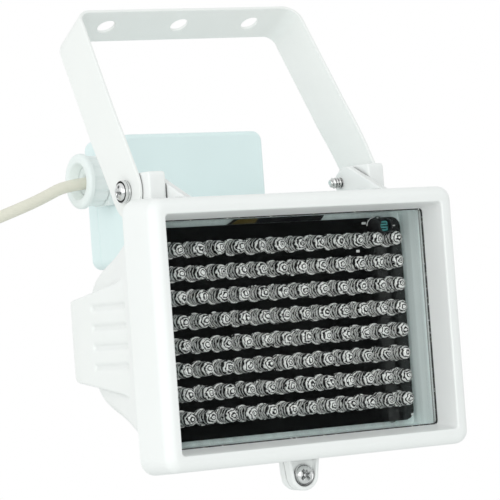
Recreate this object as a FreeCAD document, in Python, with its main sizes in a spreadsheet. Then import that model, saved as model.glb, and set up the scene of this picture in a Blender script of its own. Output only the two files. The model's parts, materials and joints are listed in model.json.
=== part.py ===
import FreeCAD, Part
import math
import os
import re
import Sketcher

# Infrared illuminator: a cast floodlight housing with a board of clear emitters behind glass, a hinged front
# frame, a terminal box at the back and a hanging bracket. Millimetres and degrees.
# While the pieces are drawn, X runs to the right seen from the front, Y runs to the back from the front rim
# of the frame, and Z runs up from the middle of the window. Every Placement then moves the origin to the
# middle hole of the bracket, on the face that is screwed to the wall or ceiling.

Vector = FreeCAD.Vector

SIZES = {
    # front frame
    "frame_width": 120.6, "frame_height": 89.0, "frame_depth": 17.8, "frame_draft": 3.2,
    "frame_corner": 4.6, "frame_edge": 3.8, "frame_wall": 2.2, "rim_width": 5.3,
    "glass_seat": 9.7, "bezel_draft": 9.4, "window_corner": 1.4,
    "rib_groove": 1.4, "rib_depth": 5.0,
    # glass and its seal
    "glass_overlap": 2.6, "glass_thickness": 3.0, "gasket_lip": 0.6, "gasket_reveal": 0.8,
    "rubber_gap": 0.1, "seal_gap": 0.6,
    # hinge line of the frame and the bracket
    "pivot_back": 36.2, "pivot_rise": 4.7, "hinge_gap": 0.2,
    "ear_thickness": 2.6, "ear_radius": 5.6, "ear_start": 8.0, "ear_shoulder": 31.5, "ear_foot": 5.4,
    "lug_thickness": 6.5, "lug_inset": 19.3, "lug_front": 22.5, "lug_back": 43.0, "lug_rise": 5.8,
    "lug_corner": 1.2, "lug_bury": 0.3,
    # tabs of the frame screw
    "tab_width": 11.0, "tab_root_width": 13.0, "tab_drop": 11.2, "frame_tab_front": 13.8, "frame_tab_thickness": 3.8,
    "tab_recess": 1.6, "tab_rim": 1.3, "housing_tab_thickness": 3.4, "tab_gap": 0.3,
    "frame_screw_drop": 5.9,
    # housing mouth and bowl
    "mouth_gap": 1.2, "mouth_wall": 2.7, "mouth_corner": 3.0, "glass_gap": 0.35,
    "ledge_back": 25.8, "pan_shoulder": 25.2, "pan_back": 30.5, "pan_slope": 42.0,
    "bowl_wall": 2.5, "bowl_corner": 4.5,
    "bowl_front": 24.0, "bowl_front_in_across": 2.3, "bowl_front_in_up": 5.4,
    "bowl_second": 44.0, "bowl_second_in_across": 6.5, "bowl_second_in_up": 10.8,
    "bowl_third": 62.0, "bowl_third_in_across": 10.2, "bowl_third_in_up": 15.7,
    "bowl_fourth": 74.0, "bowl_fourth_in_across": 12.7, "bowl_fourth_in_up": 20.7,
    "bowl_back": 80.5, "bowl_back_in_across": 14.3, "bowl_back_in_up": 25.5, "bowl_bevel": 1.8,
    "bevel_slope": 40.0,
    # end pockets and their grooves
    "pocket_inset": 4.9, "pocket_front": 28.0, "pocket_back": 76.5, "pocket_reach": 14.0,
    "pocket_front_step": 14.7, "pocket_back_step": 6.2, "pocket_corner": 3.0,
    "groove_count": 4, "groove_margin": 3.1, "groove_low_margin": 4.9, "groove_width": 2.2,
    "groove_depth": 0.9, "groove_back": 61.4, "groove_front": 31.0,
    # pad that carries the terminal box, and the wire passage through it
    "box_pad_half_width": 19.0, "box_pad_step": 2.0, "box_pad_tall": 18.0, "box_pad_root": 50.0,
    "box_pad_corner": 3.0, "passage_rise": 9.0, "passage_radius": 4.0, "passage_turn": 58.0,
    "passage_dip": 6.0, "grommet_reach": 3.0, "grommet_wall": 1.0, "grommet_lip": 1.6,
    "grommet_lip_thickness": 1.2,
    # metal tray, tape and board
    "tray_gap": 0.1, "tray_sheet": 0.7, "tray_floor_rim": 10.0, "tray_corner": 1.6,
    "tray_boss_radius": 2.8,
    "tape_thickness": 1.2, "tape_width": 6.0, "tape_inset": 12.0,
    "board_thickness": 1.6, "board_gap_across": 5.2, "board_gap_up": 3.8, "board_corner": 3.6,
    "board_shift": 1.0,
    # emitters
    "led_columns": 12, "led_rows": 8, "led_edge_across": 6.8, "led_edge_up": 7.7,
    "led_radius": 2.5, "led_flange_radius": 2.9, "led_flange": 1.0, "led_length": 8.6, "led_dome": 2.0,
    "led_dome_step": 1.2,
    # photocell in its sleeve
    "cell_edge_across": 10.8, "cell_edge_up": 3.3, "cell_radius": 2.2, "cell_thickness": 2.0,
    "cell_recess": 1.6, "sleeve_radius": 2.9, "sleeve_length": 7.0, "sleeve_gap": 0.1,
    # parts behind the board
    "resistor_radius": 1.2, "resistor_length": 6.4, "resistor_pitch": 6.0, "resistor_count": 12,
    "resistor_row": -12.0, "module_width": 19.0, "module_height": 15.4, "module_depth": 14.0,
    "module_across": -20.0, "module_up": 5.0, "module_edge": 0.5, "part_gap": 0.1,
    # terminal box
    "box_half_width": 29.4, "box_front": 71.7, "box_drop": 19.5, "box_tall": 46.7, "box_depth": 21.1,
    "box_wall": 2.0, "box_corner": 3.6, "box_edge": 1.6, "seal_thickness": 0.6, "seal_width": 1.2,
    "cover_depth": 7.1, "pillar_radius": 3.3, "pillar_inset": 3.9, "box_screw_spread": 13.0,
    "box_screw_rise": 14.5,
    # terminal block
    "block_width": 17.0, "block_height": 11.0, "block_depth": 9.0, "block_across": 4.0,
    "block_rise": 26.0, "block_pitch": 8.0, "clamp_screw_radius": 1.7, "clamp_screw_height": 1.2,
    # cable gland on the left side of the box
    "gland_inset": 10.5, "gland_rise": 31.3, "gland_hex_radius": 10.4, "gland_hex_length": 3.6,
    "gland_nut_radius": 9.8, "gland_nut_length": 8.6, "gland_lip": 2.4, "gland_waist": 0.9,
    "gland_mouth_radius": 6.5, "gland_throat_radius": 5.0, "gland_throat_depth": 3.2,
    "gland_thread_radius": 6.2, "gland_thread_length": 8.0, "gland_bore_radius": 4.2,
    "gland_sleeve_length": 4.6, "gland_skin": 1.4,
    "flute_radius": 1.1, "flute_inset": 0.5, "flute_count": 12,
    "gland_washer": 0.8, "gland_washer_radius": 8.4, "lock_nut_radius": 8.2, "lock_nut": 3.4,
    "seal_bore_gap": 0.05,
    # cable
    "cable_diameter": 4.2, "core_diameter": 1.4, "lead_diameter": 1.2, "sheath_reach": 11.4,
    "coil_start": 94.6, "coil_back": 93.9, "coil_height": -3.3, "coil_mean_radius": 21.3,
    "coil_turns": 3.125, "coil_pitch": 4.25, "coil_lead_in": 14.5, "coil_lead_in_end": 6.0,
    "coil_tail": 15.4, "coil_entry": 45.0, "coil_slack": 0.2, "coil_chamfer": 1.3,
    "tie_wrap": 0.8, "tie_width": 5.0, "tie_gap": 0.25,
    "plug_radius": 5.2, "plug_length": 18.0, "plug_shoulder": 1.6, "plug_neck_radius": 3.3,
    "plug_neck_tip": 2.7, "plug_neck_length": 9.0,
    "contact_radius": 2.75, "contact_length": 9.5, "contact_wall": 0.5, "contact_bore": 1.25,
    # bracket
    "strip_width": 19.0, "strip_thickness": 1.2, "arm_length": 73.0, "arm_foot": 22.0,
    "arm_draw": 2.2, "arm_end": 9.4, "bend_radius": 6.0, "bracket_lean": 30.0,
    "bracket_hole_spacing": 30.3, "bracket_hole_radius": 3.3,
    # screws
    "bolt_radius": 2.0, "running_gap": 0.08, "pivot_head_radius": 3.9, "pivot_head": 2.6,
    "pivot_bolt_length": 16.2, "washer_thickness": 0.9, "washer_radius": 3.8,
    "frame_head_radius": 3.7, "frame_head": 2.3, "frame_bolt_length": 6.6, "tab_bolt_gap": 0.3,
    "small_bolt_radius": 1.5, "small_head_radius": 2.7, "small_head": 1.0, "small_bolt_length": 6.0,
    "tray_bolt_length": 3.6, "tray_screw_in_across": 10.1, "tray_screw_in_up": 4.7,
    "recess_width": 0.9, "recess_depth": 1.3, "recess_share": 0.62, "head_dome": 0.8,
}

# Sizes and places that follow from those above, kept in the same sheet.
FOLLOWING = {
    "mouth_half_width": "frame_width / 2 - frame_wall - mouth_gap",
    "mouth_half_height": "frame_height / 2 - frame_wall - mouth_gap",
    "tray_half_width": "mouth_half_width - mouth_wall - tray_gap",
    "tray_half_height": "mouth_half_height - mouth_wall - tray_gap",
    "pivot_height": "frame_height / 2 + pivot_rise",
    "lug_inner": "frame_width / 2 - lug_inset",
    "bowl_front_half_width": "mouth_half_width - bowl_front_in_across",
    "bowl_front_half_height": "mouth_half_height - bowl_front_in_up",
    "bowl_second_half_width": "mouth_half_width - bowl_second_in_across",
    "bowl_second_half_height": "mouth_half_height - bowl_second_in_up",
    "bowl_third_half_width": "mouth_half_width - bowl_third_in_across",
    "bowl_third_half_height": "mouth_half_height - bowl_third_in_up",
    "bowl_fourth_half_width": "mouth_half_width - bowl_fourth_in_across",
    "bowl_fourth_half_height": "mouth_half_height - bowl_fourth_in_up",
    "bowl_back_half_width": "mouth_half_width - bowl_back_in_across",
    "bowl_back_half_height": "mouth_half_height - bowl_back_in_up",
    "lug_root": "bowl_second_half_height - lug_bury",
    "pocket_half_span": "mouth_half_width - pocket_inset",
    "pocket_root": "pocket_half_span - pocket_reach",
    "pocket_front_half_height": "bowl_front_half_height - pocket_front_step",
    "pocket_back_half_height": "bowl_fourth_half_height - pocket_back_step",
    "groove_top": "pocket_back_half_height - groove_margin",
    "groove_pitch": "(groove_top + pocket_back_half_height - groove_low_margin) / (groove_count - 1)",
    "board_width": "2 * (tray_half_width - tray_sheet) - board_gap_across",
    "board_height": "2 * (tray_half_height - tray_sheet) - board_gap_up",
    "led_pitch_across": "(board_width - 2 * led_edge_across) / (led_columns - 1)",
    "led_pitch_up": "(board_height - 2 * led_edge_up) / (led_rows - 1)",
    "cell_column": "board_width / 2 - cell_edge_across",
    "cell_height": "board_height / 2 - cell_edge_up",
    "tray_screw_across": "tray_half_width - tray_screw_in_across",
    "tray_screw_up": "tray_half_height - tray_screw_in_up",
    "box_low": "frame_height / 2 - box_drop",
    "box_high": "box_low + box_tall",
    "box_pad_low": "box_low + box_pad_step",
    "box_pad_high": "box_pad_low + box_pad_tall",
    "passage_height": "box_low + passage_rise",
    "passage_low": "box_low - passage_dip",
    "box_screw_height": "box_low + box_screw_rise",
    "block_up": "box_low + block_rise",
    "gland_back": "box_front + gland_inset",
    "gland_height": "box_low + gland_rise",
}

os.makedirs("parts", exist_ok=True)
doc = FreeCAD.newDocument("infrared_illuminator")
sheet = doc.addObject("Spreadsheet::Sheet", "sizes")
for row, (alias, value) in enumerate([*SIZES.items(), *FOLLOWING.items()], start=1):
    sheet.set(f"A{row}", alias)
    sheet.setAlias(f"B{row}", alias)
    sheet.set(f"B{row}", f"={value}")
doc.recompute()

# Places worked out from the driving sizes, as expressions that the features are bound to.
SEAT_HALF_WIDTH = "(frame_width / 2 - rim_width - glass_seat * tan(bezel_draft))"
SEAT_HALF_HEIGHT = "(frame_height / 2 - rim_width - glass_seat * tan(bezel_draft))"
CAVITY_HALF_WIDTH = "(frame_width / 2 - frame_wall)"
CAVITY_HALF_HEIGHT = "(frame_height / 2 - frame_wall)"
GLASS_FRONT = "(glass_seat + gasket_lip)"
GLASS_BACK = "(glass_seat + gasket_lip + glass_thickness)"
GASKET_BACK = "(glass_seat + 2 * gasket_lip + glass_thickness)"
MOUTH_FRONT = f"({GASKET_BACK} + glass_gap)"
TRAY_FLOOR = "(ledge_back - tray_sheet)"
BOARD_BACK = f"({TRAY_FLOOR} - tape_thickness)"
BOARD_FRONT = f"({BOARD_BACK} - board_thickness)"
LUG_OUTER = "(lug_inner + lug_thickness)"
ARM_OUTER = f"({LUG_OUTER} + hinge_gap / 2 + strip_thickness)"
TAB_CENTRE = "(-frame_height / 2 - tab_drop + tab_width / 2)"
HOUSING_TAB_FRONT = "(frame_tab_front + frame_tab_thickness + tab_gap)"
FRAME_SCREW_HEIGHT = "(-frame_height / 2 - frame_screw_drop)"
BOX_RIM = "(box_front + box_depth)"
COVER_FRONT = "(box_front + box_depth + seal_thickness)"
BOX_BACK = "(box_front + box_depth + seal_thickness + cover_depth)"
GLAND_FLANGE = "(box_half_width + gland_washer)"
ORIGIN_BACK = "(pivot_back + arm_length * sin(bracket_lean))"
ORIGIN_HEIGHT = "(pivot_height + arm_length * cos(bracket_lean))"

NAMES = {*SIZES, *FOLLOWING}
PARTS = {}
CUTS = []
CORNERS = ((-1, -1), (1, -1), (-1, 1), (1, 1))


def bound(expression):
    """Writes an expression of sheet names in the form that features are bound with."""
    return re.sub(r"[a-z][a-z_]+", lambda m: f"sizes.{m[0]}" if m[0] in NAMES else m[0], expression)


def measure(expression):
    """Gives the present value of an expression of sheet names."""
    return float(sheet.evalExpression(bound(expression)))


def is_number(expression):
    """Tells whether an expression is a bare number, which needs no binding."""
    return re.fullmatch(r"-?[0-9.]+", expression) is not None


def bind(feature, path, expression):
    """Binds one property of a feature to an expression of sheet names."""
    feature.setExpression(path, bound(expression))


def new_body(name):
    """Starts the body of one piece, whose label names its file."""
    body = doc.addObject("PartDesign::Body", name)
    body.Label = name
    PARTS[name] = body
    return body


def new_sketch(body, name, axis, start):
    """Adds a sketch square to an axis at a distance along it."""
    role, sign = {"X": ("YZ_Plane", ""), "Y": ("XZ_Plane", "-"), "Z": ("XY_Plane", "")}[axis]
    plane = next(item for item in body.Origin.OriginFeatures if item.Role == role)
    sketch = body.newObject("Sketcher::SketchObject", name)
    sketch.AttachmentSupport = [(plane, "")]
    sketch.MapMode = "FlatFace"
    sketch.AttachmentOffset = FreeCAD.Placement(Vector(0, 0, 0), FreeCAD.Rotation())
    if start != "0":
        bind(sketch, "AttachmentOffset.Base.z", f"{sign}({start})")
    return sketch


def fix_point(sketch, geometry, position, u, v, at):
    """Holds one point of a sketch at two expressions."""
    for kind, expression, value in (("DistanceX", u, at.x), ("DistanceY", v, at.y)):
        index = sketch.addConstraint(Sketcher.Constraint(kind, -1, 1, geometry, position, value))
        if not is_number(expression):
            bind(sketch, f"Constraints[{index}]", expression)


def round_corner(before, corner, after, radius):
    """Gives where a corner's arc starts and ends, and its centre."""
    back = (before - corner).normalize()
    ahead = (after - corner).normalize()
    half = back.getAngle(ahead) / 2
    reach = radius / math.tan(half)
    centre = corner + (back + ahead).normalize() * (radius / math.sin(half))
    return corner + back * reach, corner + ahead * reach, centre


def draw_outline(sketch, corners):
    """Draws a closed outline of straight runs, with an arc at each corner that states a radius."""
    points = [Vector(measure(corner[0]), measure(corner[1]), 0) for corner in corners]
    count = len(points)
    joins = []
    for index, corner in enumerate(corners):
        point = points[index]
        if len(corner) == 2:
            joins.append((point, point, None))
        else:
            after = points[(index + 1) % count]
            joins.append(round_corner(points[index - 1], point, after, measure(corner[2])))
    lines = []
    for index in range(count):
        run = Part.LineSegment(joins[index][1], joins[(index + 1) % count][0])
        lines.append(sketch.addGeometry(run, False))
    for index, corner in enumerate(corners):
        before, after = lines[index - 1], lines[index]
        if len(corner) == 2:
            sketch.addConstraint(Sketcher.Constraint("Coincident", before, 2, after, 1))
            fix_point(sketch, after, 1, corner[0], corner[1], points[index])
            continue
        start, end, centre = joins[index]
        first = math.atan2(start.y - centre.y, start.x - centre.x)
        last = math.atan2(end.y - centre.y, end.x - centre.x)
        turns_left = (start - centre).cross(end - centre).z > 0
        circle = Part.Circle(centre, Vector(0, 0, 1), measure(corner[2]))
        arc = Part.ArcOfCircle(circle, first, last) if turns_left else Part.ArcOfCircle(circle, last, first)
        joint = sketch.addGeometry(arc, False)
        near, far = (1, 2) if turns_left else (2, 1)
        sketch.addConstraint(Sketcher.Constraint("Tangent", before, 2, joint, near))
        sketch.addConstraint(Sketcher.Constraint("Tangent", joint, far, after, 1))
        size = sketch.addConstraint(Sketcher.Constraint("Radius", joint, measure(corner[2])))
        if not is_number(corner[2]):
            bind(sketch, f"Constraints[{size}]", corner[2])
        tip = sketch.addGeometry(Part.Point(points[index]), True)
        sketch.addConstraint(Sketcher.Constraint("PointOnObject", tip, 1, before))
        sketch.addConstraint(Sketcher.Constraint("PointOnObject", tip, 1, after))
        fix_point(sketch, tip, 1, corner[0], corner[1], points[index])


def draw_circle(sketch, u, v, radius):
    """Draws one circle at two expressions."""
    centre = Vector(measure(u), measure(v), 0)
    circle = sketch.addGeometry(Part.Circle(centre, Vector(0, 0, 1), measure(radius)), False)
    fix_point(sketch, circle, 3, u, v, centre)
    size = sketch.addConstraint(Sketcher.Constraint("Radius", circle, measure(radius)))
    if not is_number(radius):
        bind(sketch, f"Constraints[{size}]", radius)


def extrude(body, name, axis, sketch, start, end, cut=False, taper=None):
    """Pads or pockets a sketch along an axis from its own place to another."""
    feature = body.newObject("PartDesign::Pocket" if cut else "PartDesign::Pad", name)
    feature.Profile = sketch
    feature.Reversed = (axis != "Y") if cut else (axis == "Y")
    bind(feature, "Length", f"{end} - ({start})")
    if taper:
        bind(feature, "TaperAngle", taper)
    if cut:
        CUTS.append(feature)
    return feature


def prism(body, name, axis, corners, start, end, cut=False, taper=None):
    """Adds or cuts a prism with the given outline between two places on an axis."""
    sketch = new_sketch(body, f"{name}_outline", axis, start)
    draw_outline(sketch, corners)
    return extrude(body, name, axis, sketch, start, end, cut, taper)


def disc(body, name, axis, u, v, radius, start, end, cut=False):
    """Adds or cuts a round bar between two places on an axis."""
    sketch = new_sketch(body, f"{name}_circle", axis, start)
    draw_circle(sketch, u, v, radius)
    return extrude(body, name, axis, sketch, start, end, cut)


def rectangle(half_width, half_height, radius=None, u="0", v="0"):
    """Gives the corners of a rectangle about a centre."""
    ends = ((-1, -1), (1, -1), (1, 1), (-1, 1))
    corners = [(f"{u} + {a} * {half_width}", f"{v} + {b} * {half_height}") for a, b in ends]
    return [corner + (radius,) for corner in corners] if radius else corners


def ring(body, name, axis, outer, inner, start, end):
    """Adds a frame-shaped ring: an outer outline with an inner one cut out of it."""
    prism(body, name, axis, outer, start, end)
    prism(body, f"{name}_opening", axis, inner, start, end, cut=True)


def polygon(count, radius, u="0", v="0"):
    """Gives the corners of a regular polygon whose flats lie square to the axes."""
    step = 360 / count
    angles = [step * (index + 0.5) for index in range(count)]
    return [(f"{u} + {radius} * cos({angle})", f"{v} + {radius} * sin({angle})") for angle in angles]


def turned(body, name, corners, cut=False):
    """Turns an outline of radius and height about the body's own upright axis."""
    sketch = new_sketch(body, f"{name}_section", "Y", "0")
    draw_outline(sketch, corners)
    feature = body.newObject("PartDesign::Groove" if cut else "PartDesign::Revolution", name)
    feature.Profile = sketch
    feature.ReferenceAxis = (sketch, ["V_Axis"])
    feature.Angle = 360
    if cut:
        CUTS.append(feature)
    return feature


def dress(body, kind, name, radius, wanted):
    """Rounds or chamfers the edges of the body so far that pass a test."""
    doc.recompute()
    base = body.Tip
    names = [f"Edge{index}" for index, edge in enumerate(base.Shape.Edges, start=1) if wanted(edge)]
    feature = body.newObject(f"PartDesign::{kind}", name)
    feature.Base = (base, names)
    bind(feature, "Radius" if kind == "Fillet" else "Size", radius)
    return feature


def lies_at(edge, axis, value, slack=0.01):
    """Tells whether a whole edge lies at one value of an axis."""
    box = edge.BoundBox
    low, high = {"X": (box.XMin, box.XMax), "Y": (box.YMin, box.YMax), "Z": (box.ZMin, box.ZMax)}[axis]
    return abs(low - value) < slack and abs(high - value) < slack


def pattern(body, name, originals, direction, pitch, count):
    """Repeats features along an axis of the first one's sketch."""
    feature = body.newObject("PartDesign::LinearPattern", name)
    feature.Originals = originals
    feature.Direction = (originals[0].Profile[0], [direction])
    bind(feature, "Length", f"{pitch} * ({count} - 1)")
    if is_number(count):
        feature.Occurrences = int(count)
    else:
        bind(feature, "Occurrences", count)
    body.Tip = feature
    return feature


def place(piece, across="0", back="0", height="0", axis=None, angle="0"):
    """Sets a piece at its place, measured from the mount on the bracket."""
    if axis:
        piece.Placement = FreeCAD.Placement(Vector(0, 0, 0), FreeCAD.Rotation(axis, measure(angle)))
        if not is_number(angle):
            bind(piece, "Placement.Rotation.Angle", angle)
    spot = {"x": across, "y": f"{back} - {ORIGIN_BACK}", "z": f"{height} - {ORIGIN_HEIGHT}"}
    for name, value in spot.items():
        if value != "0":
            bind(piece, f"Placement.Base.{name}", value)


def make_front_frame():
    """Cast frame: rounded rim, sloping bezel down to the glass seat, hollow back, two ears and a tab."""
    body = new_body("front_frame")
    outer = rectangle("frame_width / 2", "frame_height / 2", "frame_corner")
    prism(body, "shell", "Y", outer, "0", "frame_depth", taper="frame_draft")
    dress(body, "Fillet", "rim_edge", "frame_edge", lambda edge: lies_at(edge, "Y", 0))
    for side in (-1, 1):
        ear_outer = f"{side} * (lug_inner - hinge_gap)"
        ear_inner = f"{side} * (lug_inner - hinge_gap - ear_thickness)"
        start, end = (ear_outer, ear_inner) if side < 0 else (ear_inner, ear_outer)
        low = "pivot_height - ear_foot"
        high = "pivot_height + ear_radius"
        ear = [("ear_start", low), ("pivot_back", low), ("pivot_back", high), ("ear_shoulder", high)]
        prism(body, f"ear_{side + 2}", "X", ear, start, end)
        disc(body, f"ear_end_{side + 2}", "X", "pivot_back", "pivot_height", "ear_radius", start, end)
        hole = "bolt_radius + running_gap"
        disc(body, f"ear_hole_{side + 2}", "X", "pivot_back", "pivot_height", hole, start, end, cut=True)
    front, back = "frame_tab_front", "frame_tab_front + frame_tab_thickness"
    root = "-frame_height / 2 + frame_wall / 2"
    tab = [("-tab_width / 2", TAB_CENTRE), ("tab_width / 2", TAB_CENTRE), ("tab_root_width / 2", root),
           ("-tab_root_width / 2", root)]
    prism(body, "tab", "Y", tab, front, back)
    disc(body, "tab_end", "Y", "0", TAB_CENTRE, "tab_width / 2", front, back)
    floor = "frame_tab_front + tab_recess"
    inside = "tab_width / 2 - tab_rim"
    recess_top = "-frame_height / 2 - tab_rim / 2"
    top_inside = "(tab_root_width / 2 - tab_rim)"
    recess = [(f"-({inside})", TAB_CENTRE), (inside, TAB_CENTRE), (top_inside, recess_top),
              (f"-{top_inside}", recess_top)]
    prism(body, "tab_recess_cut", "Y", recess, front, floor, cut=True)
    disc(body, "tab_recess_end", "Y", "0", TAB_CENTRE, inside, front, floor, cut=True)
    disc(body, "tab_hole", "Y", "0", FRAME_SCREW_HEIGHT, "bolt_radius + running_gap", front, back, cut=True)
    window = rectangle("(frame_width / 2 - rim_width)", "(frame_height / 2 - rim_width)",
                       "window_corner + glass_seat * tan(bezel_draft)")
    prism(body, "window", "Y", window, "0", "frame_depth", cut=True, taper="-bezel_draft")
    cavity = rectangle(CAVITY_HALF_WIDTH, CAVITY_HALF_HEIGHT, "frame_corner - frame_wall")
    prism(body, "cavity", "Y", cavity, "glass_seat", "frame_depth", cut=True)
    groove_outer = rectangle(CAVITY_HALF_WIDTH, CAVITY_HALF_HEIGHT, "frame_corner - frame_wall")
    inner_width = f"({CAVITY_HALF_WIDTH} - rib_groove)"
    inner_height = f"({CAVITY_HALF_HEIGHT} - rib_groove)"
    sketch = new_sketch(body, "lightening_outline", "Y", "glass_seat - rib_depth")
    draw_outline(sketch, groove_outer)
    draw_outline(sketch, rectangle(inner_width, inner_height, "window_corner"))
    extrude(body, "lightening", "Y", sketch, "glass_seat - rib_depth", "glass_seat", cut=True)
    place(body)


def make_glass():
    """Toughened glass and the silicone channel round its edge, bonded in the frame."""
    body = new_body("front_glass")
    half_width, half_height = f"({SEAT_HALF_WIDTH} + glass_overlap)", f"({SEAT_HALF_HEIGHT} + glass_overlap)"
    pane = rectangle(half_width, half_height, "window_corner")
    prism(body, "pane", "Y", pane, GLASS_FRONT, GLASS_BACK)
    place(body)
    body = new_body("glass_gasket")
    outer = rectangle(f"({CAVITY_HALF_WIDTH} - rubber_gap)", f"({CAVITY_HALF_HEIGHT} - rubber_gap)",
                      "frame_corner - frame_wall")
    lips = rectangle(f"({SEAT_HALF_WIDTH} + gasket_reveal)", f"({SEAT_HALF_HEIGHT} + gasket_reveal)",
                     "window_corner")
    ring(body, "channel", "Y", outer, lips, "glass_seat", GASKET_BACK)
    prism(body, "glass_slot", "Y", pane, GLASS_FRONT, GLASS_BACK, cut=True)
    place(body)


def bowl_sections(inset):
    """Gives the bowl's cross sections from its mouth to its back, smaller by an inset all round."""
    names = [f"bowl_{name}" for name in ("front", "second", "third", "fourth", "back")]
    sections = [(name, f"({name}_half_width - {inset})", f"({name}_half_height - {inset})")
                for name in names]
    sections[-1] = ("bowl_back - bowl_bevel",) + sections[-1][1:]
    return sections


def loft(body, name, sections, corner, cut=False):
    """Blends rounded rectangles along Y into one smooth body or hollow."""
    sketches = []
    for index, (back, half_width, half_height) in enumerate(sections):
        sketch = new_sketch(body, f"{name}_section_{index}", "Y", back)
        draw_outline(sketch, rectangle(half_width, half_height, corner))
        sketches.append(sketch)
    feature = body.newObject("PartDesign::SubtractiveLoft" if cut else "PartDesign::AdditiveLoft", name)
    feature.Profile = sketches[0]
    feature.Sections = sketches[1:]
    if cut:
        CUTS.append(feature)
    return feature


def make_housing():
    """Cast housing: smooth bowl, mouth, end pockets with grooves, hinge lugs, screw tab and box pad."""
    body = new_body("housing")
    loft(body, "bowl", bowl_sections("0"), "bowl_corner")
    back = rectangle("bowl_back_half_width", "bowl_back_half_height", "bowl_corner")
    prism(body, "bowl_bevel_pad", "Y", back, "bowl_back - bowl_bevel", "bowl_back", taper="-bevel_slope")
    for side in (-1, 1):
        low, high = ("pocket_root", "pocket_half_span")
        start, end = (f"-{high}", f"-{low}") if side < 0 else (low, high)
        pocket = [("pocket_front", "-pocket_front_half_height"), ("pocket_back", "-pocket_back_half_height",
                  "pocket_corner"), ("pocket_back", "pocket_back_half_height", "pocket_corner / 2"),
                  ("pocket_front", "pocket_front_half_height")]
        prism(body, f"end_pocket_{side + 2}", "X", pocket, start, end)
    pan = rectangle("mouth_half_width", "mouth_half_height", "mouth_corner")
    prism(body, "pan", "Y", pan, MOUTH_FRONT, "pan_shoulder")
    prism(body, "pan_slope", "Y", pan, "pan_shoulder", "pan_back", taper="-pan_slope")
    for side in (-1, 1):
        start, end = (f"-{LUG_OUTER}", "-lug_inner") if side < 0 else ("lug_inner", LUG_OUTER)
        top = "pivot_height + lug_rise"
        lug = [("lug_front", "lug_root"), ("lug_back", "lug_root"),
               ("lug_back", top, "lug_rise - lug_corner"), ("lug_front", top, "lug_corner")]
        prism(body, f"lug_{side + 2}", "X", lug, start, end)
    front = HOUSING_TAB_FRONT
    back = f"({HOUSING_TAB_FRONT} + housing_tab_thickness)"
    root = f"-mouth_half_height + mouth_wall / 2"
    tab = [("-tab_width / 2", TAB_CENTRE), ("tab_width / 2", TAB_CENTRE), ("tab_root_width / 2", root),
           ("-tab_root_width / 2", root)]
    prism(body, "tab", "Y", tab, front, back)
    disc(body, "tab_end", "Y", "0", TAB_CENTRE, "tab_width / 2", front, back)
    pad = rectangle("box_pad_half_width", "(box_pad_high - box_pad_low) / 2", "box_pad_corner",
                    v="(box_pad_high + box_pad_low) / 2")
    prism(body, "box_pad", "Y", pad, "box_pad_root", "box_front")
    loft(body, "hollow", bowl_sections("bowl_wall"), "bowl_corner / 2", cut=True)
    mouth = rectangle(f"(mouth_half_width - mouth_wall)", f"(mouth_half_height - mouth_wall)",
                      "mouth_corner / 2")
    prism(body, "mouth", "Y", mouth, MOUTH_FRONT, "ledge_back", cut=True)
    for index, (a, b) in enumerate(CORNERS):
        spot = (f"{a} * tray_screw_across", f"{b} * tray_screw_up")
        disc(body, f"tray_boss_{index}", "Y", *spot, "tray_boss_radius", "ledge_back", "pan_back")
        disc(body, f"tray_screw_hole_{index}", "Y", *spot, "small_bolt_radius + running_gap", "ledge_back",
             f"{TRAY_FLOOR} + tray_bolt_length + tray_gap", cut=True)
    for side in (-1, 1):
        near, far = "pocket_root - bowl_wall", "pocket_half_span - bowl_wall"
        start, end = (f"-({far})", f"-({near})") if side < 0 else (near, far)
        space = [("ledge_back", "-(pocket_front_half_height - bowl_wall)"),
                 ("pocket_back - bowl_wall", "-(pocket_back_half_height - bowl_wall)"),
                 ("pocket_back - bowl_wall", "pocket_back_half_height - bowl_wall"),
                 ("ledge_back", "pocket_front_half_height - bowl_wall")]
        prism(body, f"pocket_space_{side + 2}", "X", space, start, end, cut=True)
        floor, face = "pocket_half_span - groove_depth", "pocket_half_span"
        start, end = (f"-{face}", f"-({floor})") if side < 0 else (floor, face)
        groove = rectangle("(groove_back - groove_front) / 2", "(groove_width / 2)", "groove_width * 0.45",
                           u="(groove_back + groove_front) / 2", v="groove_top")
        cut = prism(body, f"groove_{side + 2}", "X", groove, start, end, cut=True)
        rows = pattern(body, f"grooves_{side + 2}", [cut], "V_Axis", "groove_pitch", "groove_count")
        rows.Reversed = True
        start, end = (f"-{LUG_OUTER}", "-lug_inner") if side < 0 else ("lug_inner", LUG_OUTER)
        disc(body, f"lug_hole_{side + 2}", "X", "pivot_back", "pivot_height", "bolt_radius + running_gap",
             start, end, cut=True)
        disc(body, f"box_hole_{side + 2}", "Y", f"{side} * box_screw_spread", "box_screw_height",
             "small_bolt_radius + running_gap", "box_front - small_bolt_length", "box_front", cut=True)
    disc(body, "tab_hole", "Y", "0", FRAME_SCREW_HEIGHT, "bolt_radius + tab_bolt_gap", front, back, cut=True)
    disc(body, "wire_passage", "Y", "0", "passage_height", "passage_radius", "passage_turn", "box_front",
         cut=True)
    disc(body, "wire_drop", "Z", "0", "passage_turn", "passage_radius", "passage_low", "passage_height",
         cut=True)
    place(body)


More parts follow.
